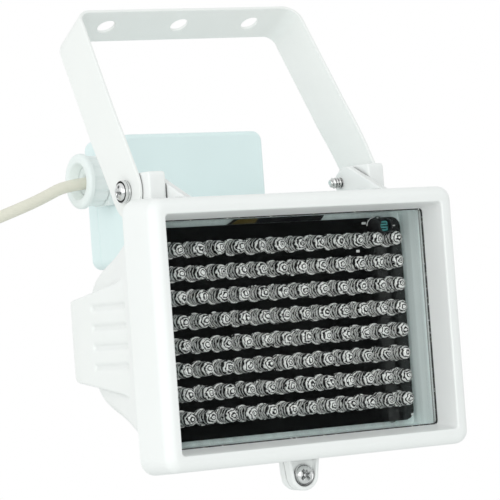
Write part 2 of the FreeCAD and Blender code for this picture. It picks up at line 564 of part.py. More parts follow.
def make_seals_and_tray():
    """Rubber strip round the mouth, and the bright tray that lines it."""
    body = new_body("frame_seal")
    outer = rectangle(f"({CAVITY_HALF_WIDTH} - seal_gap)", f"({CAVITY_HALF_HEIGHT} - seal_gap)",
                      "mouth_corner")
    inner = rectangle("mouth_half_width", "mouth_half_height", "mouth_corner")
    ring(body, "strip", "Y", outer, inner, f"{MOUTH_FRONT} + mouth_gap", "frame_depth - rubber_gap")
    place(body)
    body = new_body("reflector_tray")
    outer = rectangle("tray_half_width", "tray_half_height", "tray_corner")
    prism(body, "sheet", "Y", outer, MOUTH_FRONT, "ledge_back")
    inner = rectangle(f"(tray_half_width - tray_sheet)", f"(tray_half_height - tray_sheet)",
                      "tray_corner - tray_sheet")
    prism(body, "inside", "Y", inner, MOUTH_FRONT, TRAY_FLOOR, cut=True)
    opening = rectangle(f"(tray_half_width - tray_floor_rim)", f"(tray_half_height - tray_floor_rim)",
                        "tray_corner")
    prism(body, "opening", "Y", opening, TRAY_FLOOR, "ledge_back", cut=True)
    for index, (a, b) in enumerate(CORNERS):
        disc(body, f"screw_hole_{index}", "Y", f"{a} * tray_screw_across", f"{b} * tray_screw_up",
             "small_bolt_radius + running_gap", TRAY_FLOOR, "ledge_back", cut=True)
    place(body)


def make_board():
    """Black circuit board, the tape that holds it on the tray, and its eight rows of emitters."""
    body = new_body("led_board")
    outline = rectangle("board_width / 2", "board_height / 2", "board_corner", u="board_shift")
    prism(body, "laminate", "Y", outline, BOARD_FRONT, BOARD_BACK)
    place(body)
    body = new_body("board_tape")
    for side in (-1, 1):
        strip = rectangle("(board_width / 2 - tape_inset)", "tape_width / 2",
                          v=f"{side} * (board_height / 2 - tape_width / 2 - rubber_gap)")
        prism(body, f"strip_{side + 2}", "Y", strip, BOARD_BACK, TRAY_FLOOR)
    place(body)
    for row in range(int(measure("led_rows"))):
        body = new_body(f"led_row_{row + 1}")
        across = "board_shift - led_pitch_across * (led_columns - 1) / 2"
        up = f"led_pitch_up * ((led_rows - 1) / 2 - {row})"
        flange_front = f"({BOARD_FRONT} - led_flange)"
        tip = f"({BOARD_FRONT} - led_length)"
        flange = prism(body, "flange", "Y", polygon(8, "led_flange_radius", across, up), flange_front,
                       BOARD_FRONT)
        lens = prism(body, "lens", "Y", polygon(8, "led_radius", across, up), tip, flange_front)
        pattern(body, "row", [flange, lens], "H_Axis", "led_pitch_across", "led_columns")
        dome = dress(body, "Chamfer", "dome", "led_dome_step", lambda edge: lies_at(edge, "Y", measure(tip)))
        dome.ChamferType = "Two distances"
        bind(dome, "Size2", "led_dome")
        place(body)


def make_photocell():
    """Light cell on the board, deep in a black sleeve."""
    body = new_body("photocell_sleeve")
    across, up = "board_shift + cell_column", "cell_height"
    front = f"({BOARD_FRONT} - sleeve_length)"
    disc(body, "sleeve", "Y", across, up, "sleeve_radius", front, BOARD_FRONT)
    disc(body, "sleeve_bore", "Y", across, up, "cell_radius + sleeve_gap", front, BOARD_FRONT, cut=True)
    place(body)
    body = new_body("photocell")
    face = f"({BOARD_FRONT} - sleeve_length + cell_recess)"
    disc(body, "cell", "Y", across, up, "cell_radius", face, f"{face} + cell_thickness")
    for side in (-1, 1):
        leg = f"board_shift + cell_column + {side} * cell_radius / 2"
        disc(body, f"leg_{side + 2}", "Y", leg, up, "cell_radius / 6", f"{face} + cell_thickness / 2",
             BOARD_FRONT)
    place(body)


def make_parts_behind_board():
    """Series resistors and the switching module, soldered behind the board."""
    body = new_body("series_resistors")
    across = "board_shift - resistor_pitch * (resistor_count - 1) / 2"
    deep = f"({BOARD_BACK} + part_gap + resistor_radius)"
    sketch = new_sketch(body, "resistor_circle", "Z", "resistor_row - resistor_length / 2")
    draw_circle(sketch, across, deep, "resistor_radius")
    bar = extrude(body, "resistor", "Z", sketch, "resistor_row - resistor_length / 2",
                  "resistor_row + resistor_length / 2")
    pattern(body, "resistors", [bar], "H_Axis", "resistor_pitch", "resistor_count")
    place(body)
    body = new_body("switch_module")
    start = f"({BOARD_BACK} + part_gap)"
    block = rectangle("module_width / 2", "module_height / 2", u="module_across", v="module_up")
    prism(body, "block", "Y", block, start, f"{start} + module_depth")
    dress(body, "Chamfer", "block_edge", "module_edge",
          lambda edge: lies_at(edge, "Y", measure(f"{start} + module_depth")))
    place(body)


def make_terminal_box():
    """Plastic box behind the housing, its cover and seal."""
    middle = "(box_high + box_low) / 2"
    half_height = "((box_high - box_low) / 2)"
    outline = rectangle("box_half_width", half_height, "box_corner", v=middle)
    inside = rectangle("(box_half_width - box_wall)", f"({half_height} - box_wall)", "box_corner - box_wall",
                       v=middle)
    body = new_body("terminal_box")
    prism(body, "shell", "Y", outline, "box_front", BOX_RIM)
    dress(body, "Fillet", "front_edge", "box_edge",
          lambda edge: lies_at(edge, "Y", measure("box_front")))
    prism(body, "inside", "Y", inside, "box_front + box_wall", BOX_RIM, cut=True)
    for index, (a, b) in enumerate(CORNERS):
        u = f"{a} * (box_half_width - pillar_inset)"
        v = f"{middle} + {b} * ({half_height} - pillar_inset)"
        disc(body, f"pillar_{index}", "Y", u, v, "pillar_radius", "box_front + box_wall / 2", BOX_RIM)
        disc(body, f"pillar_hole_{index}", "Y", u, v, "small_bolt_radius + running_gap",
             f"{BOX_RIM} - small_bolt_length", BOX_RIM, cut=True)
    disc(body, "wire_hole", "Y", "0", "passage_height", "passage_radius", "box_front",
         "box_front + box_wall", cut=True)
    for side in (-1, 1):
        disc(body, f"screw_hole_{side + 2}", "Y", f"{side} * box_screw_spread", "box_screw_height",
             "small_bolt_radius + running_gap", "box_front", "box_front + box_wall", cut=True)
    disc(body, "gland_hole", "X", "gland_back", "gland_height", "gland_thread_radius + running_gap",
         "-box_half_width", "-box_half_width + box_wall", cut=True)
    place(body)
    body = new_body("box_cover")
    prism(body, "shell", "Y", outline, COVER_FRONT, BOX_BACK)
    dress(body, "Fillet", "back_edge", "box_edge", lambda edge: lies_at(edge, "Y", measure(BOX_BACK)))
    prism(body, "inside", "Y", inside, COVER_FRONT, f"{BOX_BACK} - box_wall", cut=True)
    for index, (a, b) in enumerate(CORNERS):
        u = f"{a} * (box_half_width - pillar_inset)"
        v = f"{middle} + {b} * ({half_height} - pillar_inset)"
        disc(body, f"pillar_{index}", "Y", u, v, "pillar_radius", COVER_FRONT, f"{BOX_BACK} - box_wall / 2")
        disc(body, f"screw_hole_{index}", "Y", u, v, "small_bolt_radius + running_gap", COVER_FRONT,
             BOX_BACK, cut=True)
        disc(body, f"head_hole_{index}", "Y", u, v, "small_head_radius + running_gap",
             f"{BOX_BACK} - 2 * small_head", BOX_BACK, cut=True)
    place(body)
    body = new_body("cover_seal")
    seal_inside = rectangle("(box_half_width - seal_width)", f"({half_height} - seal_width)",
                            "box_corner - seal_width", v=middle)
    seal_outside = rectangle("(box_half_width - seal_width / 4)", f"({half_height} - seal_width / 4)",
                             "box_corner - seal_width / 4", v=middle)
    ring(body, "seal", "Y", seal_outside, seal_inside, BOX_RIM, COVER_FRONT)
    place(body)


def make_terminal_block():
    """Two-pole terminal block inside the box, with its clamp screws."""
    body = new_body("terminal_block")
    front = "box_front + box_wall"
    block = rectangle("block_width / 2", "block_height / 2", u="block_across", v="block_up")
    prism(body, "block", "Y", block, front, f"{front} + block_depth")
    for pole in (-1, 1):
        across = f"block_across + {pole} * block_pitch / 2"
        disc(body, f"wire_way_{pole + 2}", "Z", across, f"{front} + block_depth / 2", "core_diameter * 0.75",
             "block_up - block_height / 2", "block_up + block_height / 2", cut=True)
        disc(body, f"screw_well_{pole + 2}", "Y", across, "block_up", "clamp_screw_radius + rubber_gap",
             f"{front} + block_depth - 2 * clamp_screw_height", f"{front} + block_depth", cut=True)
    place(body)
    body = new_body("clamp_screws")
    for pole in (-1, 1):
        across = f"block_across + {pole} * block_pitch / 2"
        head = f"({front} + block_depth - clamp_screw_height)"
        disc(body, f"screw_{pole + 2}", "Y", across, "block_up", "clamp_screw_radius",
             f"{head} - clamp_screw_height", head)
    place(body)


def turn_to_left(body, start):
    """Places a turned piece with its own axis on the gland's, pointing left, from a place on X."""
    place(body, f"-({start})", "gland_back", "gland_height", Vector(0, 1, 0), "-90")


def make_gland():
    """Cable gland: hexagonal body, washer, lock nut, rubber seal and clamping nut, each on the X axis."""
    sleeve = "gland_hex_length + gland_sleeve_length"
    body = new_body("gland_body")
    prism(body, "hexagon", "Z", polygon(6, "gland_hex_radius"), "0", "gland_hex_length")
    disc(body, "sleeve", "Z", "0", "0", "gland_nut_radius - gland_skin - gland_waist - running_gap",
         "gland_hex_length", sleeve)
    disc(body, "thread", "Z", "0", "0", "gland_thread_radius", "-gland_thread_length", "0")
    disc(body, "seal_seat", "Z", "0", "0", "gland_throat_radius + running_gap", "gland_hex_length / 2",
         sleeve, cut=True)
    disc(body, "bore", "Z", "0", "0", "gland_bore_radius", "-gland_thread_length", "gland_hex_length / 2",
         cut=True)
    turn_to_left(body, GLAND_FLANGE)
    body = new_body("gland_nut")
    inner = "gland_nut_radius - gland_skin - gland_waist"
    top = "gland_nut_length"
    turned(body, "cap", [
        (inner, "0"), ("gland_nut_radius - gland_waist", "0"),
        ("gland_nut_radius - gland_waist", f"{top} - gland_lip"),
        ("gland_nut_radius", f"{top} - gland_lip"), ("gland_nut_radius", f"{top} - gland_lip / 3"),
        ("gland_nut_radius - gland_lip / 3", top), ("gland_mouth_radius", top),
        ("gland_throat_radius + seal_bore_gap", f"{top} - gland_throat_depth"),
        (inner, f"{top} - gland_throat_depth"),
    ])
    flute = disc(body, "flute", "Z", "gland_nut_radius - gland_waist + flute_inset", "0", "flute_radius",
                 "0", f"{top} - gland_lip", cut=True)
    grips = body.newObject("PartDesign::PolarPattern", "grips")
    grips.Originals = [flute]
    grips.Axis = (flute.Profile[0], ["N_Axis"])
    grips.Angle = 360
    bind(grips, "Occurrences", "flute_count")
    body.Tip = grips
    turn_to_left(body, f"{GLAND_FLANGE} + gland_hex_length + running_gap")
    body = new_body("gland_seal")
    turned(body, "sleeve", [
        ("cable_diameter / 2 + seal_bore_gap", "gland_hex_length / 2"),
        ("gland_throat_radius", "gland_hex_length / 2"),
        ("gland_throat_radius", "gland_hex_length + gland_nut_length - gland_throat_depth"),
        ("cable_diameter / 2 + seal_bore_gap + gland_skin / 2",
         "gland_hex_length + gland_nut_length - gland_throat_depth"),
        ("cable_diameter / 2 + seal_bore_gap",
         "gland_hex_length + gland_nut_length - gland_throat_depth - gland_skin"),
    ])
    turn_to_left(body, GLAND_FLANGE)
    body = new_body("gland_washer")
    disc(body, "washer", "Z", "0", "0", "gland_washer_radius", "0", "gland_washer")
    disc(body, "washer_hole", "Z", "0", "0", "gland_thread_radius + running_gap", "0", "gland_washer",
         cut=True)
    turn_to_left(body, "box_half_width")
    body = new_body("gland_lock_nut")
    prism(body, "hexagon", "Z", polygon(6, "lock_nut_radius"), "-lock_nut", "0")
    disc(body, "bore", "Z", "0", "0", "gland_thread_radius + running_gap", "-lock_nut", "0", cut=True)
    turn_to_left(body, "box_half_width - box_wall")


def make_grommet():
    """Soft bush that guards the leads where they pass into the box."""
    body = new_body("wall_grommet")
    start = "box_front + box_wall"
    disc(body, "bush", "Y", "0", "passage_height", "passage_radius - rubber_gap",
         "box_front - grommet_reach", start)
    disc(body, "lip", "Y", "0", "passage_height", "passage_radius + grommet_lip", start,
         f"{start} + grommet_lip_thickness")
    disc(body, "bore", "Y", "0", "passage_height", "passage_radius - grommet_wall",
         "box_front - grommet_reach", f"{start} + grommet_lip_thickness", cut=True)
    place(body)


def make_screw(name, head_radius, head, radius, length, places, axis, angle):
    """Pan-head screws of one size at several places, their heads towards the start of the turned axis."""
    shapes = []
    for index, spot in enumerate(places):
        body = doc.addObject("PartDesign::Body", f"{name}_piece_{index + 1}")
        turned(body, "screw", [
            ("0", f"-{length}"), (f"{radius} * 0.8", f"-{length}"), (radius, f"-{length} + {radius} * 0.4"),
            (radius, "0"), (head_radius, "0"), (head_radius, f"{head} - {head} * head_dome / 2"),
            (f"{head_radius} * 0.55", head), ("0", head),
        ])
        long, short = f"({head_radius} * recess_share)", "(recess_width / 2)"
        floor = f"{head} - min(recess_depth; {head} * 0.6)"
        prism(body, "cross_bar", "Z", rectangle(long, short), floor, head, cut=True)
        prism(body, "cross_post", "Z", rectangle(short, long), floor, head, cut=True)
        way = axis if not isinstance(axis, (list, tuple)) else axis[index]
        by = angle if not isinstance(angle, (list, tuple)) else angle[index]
        place(body, *spot, way, by)
        shapes.append(body)
    if len(shapes) == 1:
        shapes[0].Label = name
        PARTS[name] = shapes[0]
        return
    group = doc.addObject("Part::Compound", name)
    group.Links = shapes
    group.Label = name
    PARTS[name] = group


def make_screws():
    """All screws: the pivots, the frame screw, and those of the tray, the box and its cover."""
    sideways = Vector(0, 1, 0)
    face = f"{ARM_OUTER} + washer_thickness"
    make_screw("pivot_screws", "pivot_head_radius", "pivot_head", "bolt_radius", "pivot_bolt_length",
               [(f"-({face})", "pivot_back", "pivot_height"), (face, "pivot_back", "pivot_height")],
               sideways, ["-90", "90"])
    body = new_body("pivot_washers")
    for side in (-1, 1):
        start, end = (f"-({face})", f"-{ARM_OUTER}") if side < 0 else (ARM_OUTER, face)
        disc(body, f"washer_{side + 2}", "X", "pivot_back", "pivot_height", "washer_radius", start, end)
        disc(body, f"washer_hole_{side + 2}", "X", "pivot_back", "pivot_height", "bolt_radius + running_gap",
             start, end, cut=True)
    place(body)
    forward, backward = "90", "-90"
    across = Vector(1, 0, 0)
    make_screw("frame_screw", "frame_head_radius", "frame_head", "bolt_radius", "frame_bolt_length",
               [("0", "frame_tab_front + tab_recess", FRAME_SCREW_HEIGHT)], across, forward)
    make_screw("tray_screws", "small_head_radius", "small_head", "small_bolt_radius", "tray_bolt_length",
               [(f"{a} * tray_screw_across", TRAY_FLOOR, f"{b} * tray_screw_up") for a, b in CORNERS],
               across, forward)
    middle = "(box_high + box_low) / 2"
    half_height = "((box_high - box_low) / 2)"
    make_screw("cover_screws", "small_head_radius", "small_head", "small_bolt_radius",
               "(small_bolt_length + cover_depth - 3 * small_head)",
               [(f"{a} * (box_half_width - pillar_inset)", f"{BOX_BACK} - 2 * small_head",
                 f"{middle} + {b} * ({half_height} - pillar_inset)") for a, b in CORNERS],
               across, backward)
    make_screw("box_screws", "small_head_radius", "small_head", "small_bolt_radius", "small_bolt_length",
               [(f"{a} * box_screw_spread", "box_front + box_wall", "box_screw_height") for a in (-1, 1)],
               across, backward)


def make_bracket():
    """Flat strip bent to a U, with three fixing holes and its arms drawn in above their feet."""
    body = new_body("bracket")
    inner = f"({ARM_OUTER} - strip_thickness)"
    top_inner = f"({ARM_OUTER} - strip_thickness - arm_draw)"
    outer_right = [(ARM_OUTER, "-arm_end"), (ARM_OUTER, "arm_foot"),
                   (f"{ARM_OUTER} - arm_draw", "arm_length", "bend_radius")]
    inner_right = [(inner, "-arm_end"), (inner, "arm_foot"),
                   (top_inner, "arm_length - strip_thickness", "bend_radius - strip_thickness")]
    outer_left = [(f"-({c[0]})",) + c[1:] for c in reversed(outer_right)]
    inner_left = [(f"-({c[0]})",) + c[1:] for c in inner_right]
    outline = outer_right + outer_left + inner_left + list(reversed(inner_right))
    prism(body, "strip", "Y", outline, "-strip_width / 2", "strip_width / 2")
    dress(body, "Fillet", "arm_ends", "min(strip_width; 2 * arm_end) / 2 - 0.1",
          lambda edge: lies_at(edge, "Z", measure("-arm_end")) and edge.BoundBox.XLength > 1)
    for side in (-1, 1):
        start, end = (f"-{ARM_OUTER}", f"-{inner}") if side < 0 else (inner, ARM_OUTER)
        disc(body, f"pivot_hole_{side + 2}", "X", "0", "0", "bolt_radius + running_gap", start, end,
             cut=True)
    for index in (-1, 0, 1):
        disc(body, f"fixing_hole_{index + 2}", "Z", f"{index} * bracket_hole_spacing", "0",
             "bracket_hole_radius", "arm_length - strip_thickness", "arm_length", cut=True)
    place(body, "0", "pivot_back", "pivot_height", Vector(1, 0, 0), "-bracket_lean")


def tube(points, radius):
    """Sweeps a round section along straight runs joined by arcs that touch them.

    Each arc is as large as its two runs allow: 0.45 of the shorter run over the tangent of half the turn.
    """
    spots = [Vector(*point) for point in points]
    edges, start, radii = [], spots[0], []
    for before, corner, after in zip(spots, spots[1:], spots[2:]):
        run_in, run_out = corner - before, after - corner
        half = run_in.getAngle(run_out) / 2
        reach = 0.45 * min(run_in.Length, run_out.Length)
        arc_radius = reach / math.tan(half)
        radii.append(arc_radius)
        back, ahead = -run_in.normalize(), run_out.normalize()
        centre = corner + (back + ahead).normalize() * (arc_radius / math.cos(half))
        first, last = corner + back * reach, corner + ahead * reach
        middle = centre + (corner - centre).normalize() * arc_radius
        edges += [Part.LineSegment(start, first).toShape(), Part.Arc(first, middle, last).toShape()]
        start = last
    edges.append(Part.LineSegment(start, spots[-1]).toShape())
    path = Part.Wire(edges)
    way = spots[1] - spots[0]
    section = Part.Wire(Part.makeCircle(radius, spots[0], way))
    solid = path.makePipeShell([section], True, False)
    share = solid.Volume / (math.pi * radius ** 2 * path.Length)
    return solid, path.Length, radii, share


def add_shape(name, shape):
    """Adds a piece whose shape is worked out in code."""
    piece = doc.addObject("Part::Feature", name)
    piece.Label = name
    piece.Shape = shape
    PARTS[name] = piece
    place(piece)
    return piece


def make_leads():
    """Cores of the cable to the terminal block, and the two leads from it through the bush to the board."""
    core, lead = measure("core_diameter / 2"), measure("lead_diameter / 2")
    start = measure("sheath_reach - box_half_width")
    depth, height = measure("gland_back"), measure("gland_height")
    board, turn, way = measure(BOARD_BACK), measure("passage_turn"), measure("passage_height")
    left, right = measure("block_across - block_pitch / 2"), measure("block_across + block_pitch / 2")
    deep = measure("box_front + box_wall + block_depth / 2")
    low = measure("block_up - block_height / 2 + core_diameter / 2")
    top = measure("block_up + block_height / 2")
    cores = [
        [(start, depth, height + 0.75), (start + 5.0, depth, height + 0.75), (-4.0, depth - 1.5, top + 6.0),
         (right, deep, top + 6.0), (right, deep, top - 2.0)],
        [(start, depth, height - 0.75), (start + 4.0, depth, height - 0.75), (-7.0, depth - 2.0, top + 2.6),
         (left, deep, top + 3.0), (left, deep, top - 2.0)],
    ]
    leads = [
        [(left, deep, low), (left - 0.6, deep, low - 6.0), (-1.0, deep - 2.2, way), (-1.0, turn + 9.0, way),
         (-1.0, turn + 0.4, way - 1.0), (-1.0, turn - 0.6, way - 12.0), (-1.0, turn - 9.0, way - 18.0),
         (-1.0, board, way - 18.0)],
        [(right, deep, low), (right - 1.0, deep, low - 6.0), (1.4, deep - 1.6, way), (1.0, turn + 9.0, way),
         (1.0, turn + 0.4, way - 1.0), (1.0, turn - 0.6, way - 12.0), (1.0, turn - 9.0, way - 18.0),
         (1.0, board, way - 18.0)],
    ]
    add_shape("cable_cores", Part.Compound([tube(points, core)[0] for points in cores]))
    add_shape("board_leads", Part.Compound([tube(points, lead)[0] for points in leads]))


def make_cable():
    """Cable through the gland, its put-away coil with a tie, and the low-voltage plug on its end."""
    depth, height = measure("gland_back"), measure("gland_height")
    radius, mean = measure("cable_diameter / 2"), measure("coil_mean_radius")
    side, back, middle = -measure("coil_start"), measure("coil_back"), measure("coil_height")
    lead_in, entry = measure("coil_lead_in"), math.radians(measure("coil_entry"))
    # The coil hangs square to X about its own centre. The cable comes in along the line that touches it at
    # the entry angle, and the last turn leaves straight down at the back.
    touch = Vector(side, back + mean * math.sin(entry), middle + mean * math.cos(entry))
    way = Vector(0, math.cos(entry), -math.sin(entry))
    meet = touch - way * lead_in
    points = [
        (measure("sheath_reach - box_half_width"), depth, height), (-44.5, depth, height),
        (-58.0, 82.2, 50.3), (-71.0, 82.2, 45.9), (-81.5, 82.2, 42.6), (-89.9, 85.7, 36.5),
        (-94.6, 92.0, 28.7), tuple(meet),
    ]
    solid, length, radii, share = tube(points, radius)
    tail = measure("coil_tail")
    turns = 2 * math.pi * mean * measure("coil_turns")
    whole = length + lead_in + turns + tail
    print("power_cable tube", round(length, 2), "with coil and ends", round(whole, 2), "radii",
          [round(r, 1) for r in radii], "volume share", round(share, 4))
    add_shape("power_cable", solid)
    width = measure("coil_turns * coil_pitch + cable_diameter")
    slack = measure("coil_slack")
    left = Vector(-1, 0, 0)
    face = Vector(side + radius + slack, back, middle)
    coil = Part.makeCylinder(mean + radius + slack, width + 2 * slack, face, left)
    coil = coil.cut(Part.makeCylinder(mean - radius - slack, width + 2 * slack, face, left))
    rims = [edge for edge in coil.Edges if abs(edge.BoundBox.XLength) < 0.01]
    coil = coil.makeChamfer(measure("coil_chamfer"), rims)
    last = Vector(side + 2 * radius - width, back + mean, middle)
    lead = Part.makeCylinder(radius, lead_in - measure("coil_lead_in_end"), meet, way)
    end = Part.makeCylinder(radius, tail, last - Vector(0, 0, tail), Vector(0, 0, 1))
    add_shape("cable_coil", coil.fuse([lead, end]))
    body = new_body("cable_tie")
    half_width = "((coil_turns * coil_pitch + cable_diameter) / 2 + coil_slack + tie_gap)"
    half_height = "(cable_diameter / 2 + coil_slack + tie_gap)"
    outer = rectangle(f"({half_width} + tie_wrap)", f"({half_height} + tie_wrap)", "2 * tie_wrap")
    inner = rectangle(half_width, half_height, "tie_wrap")
    ring(body, "band", "Y", outer, inner, "-tie_width / 2", "tie_width / 2")
    place(body, "-coil_start - coil_turns * coil_pitch / 2", "coil_back", "coil_height + coil_mean_radius")
    make_plug()


def make_plug():
    """Moulded plug with a ribbed neck, its contact sleeve and the insulator inside that."""
    spot = ("-coil_start - coil_turns * coil_pitch", "coil_back + coil_mean_radius",
            "coil_height - coil_tail")
    low = "-plug_neck_length - plug_length"
    body = new_body("power_plug")
    turned(body, "moulding", [
        ("0", "0"), ("plug_neck_tip", "0"), ("plug_neck_radius", "-plug_neck_length"),
        ("plug_radius - plug_shoulder", "-plug_neck_length"),
        ("plug_radius", "-plug_neck_length - plug_shoulder"), ("plug_radius", low), ("0", low),
    ])
    place(body, *spot)
    body = new_body("plug_contact")
    disc(body, "sleeve", "Z", "0", "0", "contact_radius", f"{low} - contact_length", low)
    disc(body, "sleeve_bore", "Z", "0", "0", "contact_radius - contact_wall", f"{low} - contact_length", low,
         cut=True)
    place(body, *spot)
    body = new_body("plug_insulator")
    disc(body, "liner", "Z", "0", "0", "contact_radius - contact_wall", f"{low} - contact_length", low)
    disc(body, "liner_bore", "Z", "0", "0", "contact_bore", f"{low} - contact_length", low, cut=True)
    place(body, *spot)


MAKERS = (
    make_front_frame, make_glass, make_housing, make_seals_and_tray, make_board, make_photocell,
    make_parts_behind_board, make_terminal_box, make_terminal_block, make_gland, make_grommet,
    make_screws, make_bracket, make_leads, make_cable,
)


def check_document():
    """Stops the build when a feature failed, a cut took nothing away or a piece isn't a valid solid."""
    for item in doc.Objects:
        if "Invalid" in item.State or "Error" in item.State:
            raise RuntimeError(f"{item.Name} of {item.Label} failed: {item.State}")
    for cut in CUTS:
        base = cut.BaseFeature.Shape.Volume
        if cut.Shape.Volume > base - 1e-3:
            raise RuntimeError(f"{cut.Name} cuts nothing from {cut.getParentGeoFeatureGroup().Label}")
    for name, piece in PARTS.items():
        shape = piece.Shape
        if shape.isNull() or not shape.isValid() or not shape.Solids:
            raise RuntimeError(f"{name} has no valid solid")


for make in MAKERS:
    make()
doc.recompute()
check_document()
for name, piece in PARTS.items():
    piece.Shape.exportStep(f"parts/{name}.step")
print(len(PARTS), "pieces,", sum(len(piece.Shape.Solids) for piece in PARTS.values()), "solids")
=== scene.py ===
"""Infrared illuminator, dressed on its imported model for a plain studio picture.

Pieces are drawn in millimetres from the middle of the front rim: X runs to the right seen from the front,
Y to the back and Z up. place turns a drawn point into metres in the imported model's frame.
"""

import functools
import json
import logging
import math
from collections.abc import Callable, Iterable, Sequence
from dataclasses import dataclass, field
from enum import Enum

import bmesh
import bpy
from mathutils import Matrix, Vector

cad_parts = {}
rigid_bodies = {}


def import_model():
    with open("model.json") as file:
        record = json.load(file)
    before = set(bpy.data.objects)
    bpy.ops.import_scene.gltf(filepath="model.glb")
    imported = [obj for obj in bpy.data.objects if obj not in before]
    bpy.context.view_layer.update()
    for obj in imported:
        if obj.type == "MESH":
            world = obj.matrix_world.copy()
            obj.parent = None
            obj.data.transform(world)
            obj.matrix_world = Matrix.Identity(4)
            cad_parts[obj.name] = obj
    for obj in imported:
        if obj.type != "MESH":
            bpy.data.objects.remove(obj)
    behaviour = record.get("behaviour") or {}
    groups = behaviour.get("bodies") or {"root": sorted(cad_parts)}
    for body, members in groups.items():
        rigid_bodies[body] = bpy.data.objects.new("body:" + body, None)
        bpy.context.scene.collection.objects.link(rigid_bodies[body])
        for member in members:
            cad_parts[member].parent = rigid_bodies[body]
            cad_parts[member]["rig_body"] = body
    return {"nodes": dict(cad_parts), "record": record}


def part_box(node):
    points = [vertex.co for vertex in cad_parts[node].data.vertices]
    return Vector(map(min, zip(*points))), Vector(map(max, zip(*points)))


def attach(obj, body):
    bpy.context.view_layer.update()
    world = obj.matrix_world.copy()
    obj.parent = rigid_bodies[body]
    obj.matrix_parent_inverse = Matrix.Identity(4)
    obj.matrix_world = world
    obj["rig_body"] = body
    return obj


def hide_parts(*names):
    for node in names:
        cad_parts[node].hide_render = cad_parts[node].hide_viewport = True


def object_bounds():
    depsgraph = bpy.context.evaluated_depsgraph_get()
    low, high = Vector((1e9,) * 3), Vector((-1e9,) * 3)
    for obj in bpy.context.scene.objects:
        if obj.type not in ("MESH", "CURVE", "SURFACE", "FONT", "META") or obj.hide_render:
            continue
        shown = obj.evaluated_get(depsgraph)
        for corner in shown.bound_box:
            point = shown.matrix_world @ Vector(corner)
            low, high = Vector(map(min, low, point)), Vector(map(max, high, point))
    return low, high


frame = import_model()

MM = 0.001
LOG = logging.getLogger("illuminator")
CAD_BOX = [list(corner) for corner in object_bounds()]
GLASS_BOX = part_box("front_glass")
HOME = Vector((
    (GLASS_BOX[0].x + GLASS_BOX[1].x) / 2,
    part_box("front_frame")[0].y,
    (GLASS_BOX[0].z + GLASS_BOX[1].z) / 2,
))
SLOTS = {part["node"]: part["material_slot"] for part in frame["record"]["subparts"]}

Socket = bpy.types.NodeSocket
Pair = tuple[float, float]
Triple = tuple[float, float, float]
Colour = Triple
Outline = Sequence[Pair]
Ring = Sequence[Vector]

# Where the pivot line of bracket and front frame stands: to the back, and up.
PIVOT: Pair = (36.2, 49.2)
# How far apart the emitters stand, across and up.
EMITTER_PITCH: Pair = (8.0, 8.0)
# Points nearer than this are welded, and a ring of the smallest radius closes to one point.
WELD = 0.0008
SMALLEST_RADIUS = 1e-4
# An edge sharper than this many degrees stays sharp.
CREASE = 34.0
# The four corners of a rectangle, each as a sense across and a sense up.
CORNERS = ((-1, -1), (1, -1), (-1, 1), (1, 1))


class Axis(Enum):
    """The way that a form is drawn along, with the order of its outline's two numbers."""

    X = (0, 1, 2)
    Y = (1, 0, 2)
    Z = (2, 0, 1)


class Cut(Enum):
    """What a boolean does with a second form."""

    AWAY = "DIFFERENCE"
    JOIN = "UNION"


def place(point: Iterable[float]) -> Vector:
    """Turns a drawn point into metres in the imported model's frame."""
    return Vector(point) * MM + HOME


# Surfaces


class NodeBench:
    """A node tree, with a short way to add nodes and join them."""

    def __init__(self, tree: bpy.types.NodeTree) -> None:
        """Takes up a tree."""
        self.nodes = tree.nodes
        self.links = tree.links

    def add(self, kind: str, sockets: dict[str | int, float | Sequence[float] | Socket],
            **choices: str | int) -> bpy.types.Node:
        """Adds a node with its settings, its constants and its joins.

        Args:
            kind: The node's type, without the words that all types begin with.
            sockets: What goes into each input, by name or number: a constant or another node's output.
            **choices: The node's own settings.

        Returns:
            The node.
        """
        node = self.nodes.new(f"ShaderNode{kind}")
        for key, choice in choices.items():
            setattr(node, key, choice)
        for key, value in sockets.items():
            if isinstance(value, Socket):
                self.links.new(value, node.inputs[key])
            else:
                node.inputs[key].default_value = value
        return node

    def work(self, operation: str, first: Socket, second: float | Socket = 0.0) -> Socket:
        """Works out one number from one or two others, by the node's own name for the sum."""
        return self.add("Math", {0: first, 1: second}, operation=operation).outputs[0]

    def blend(self, share: Socket, plain: Socket, other: Socket, output: Socket) -> None:
        """Joins a blend of two shaders to an output, the second by a share from 0 to 1."""
        self.links.new(self.add("MixShader", {0: share, 1: plain, 2: other}).outputs["Shader"], output)


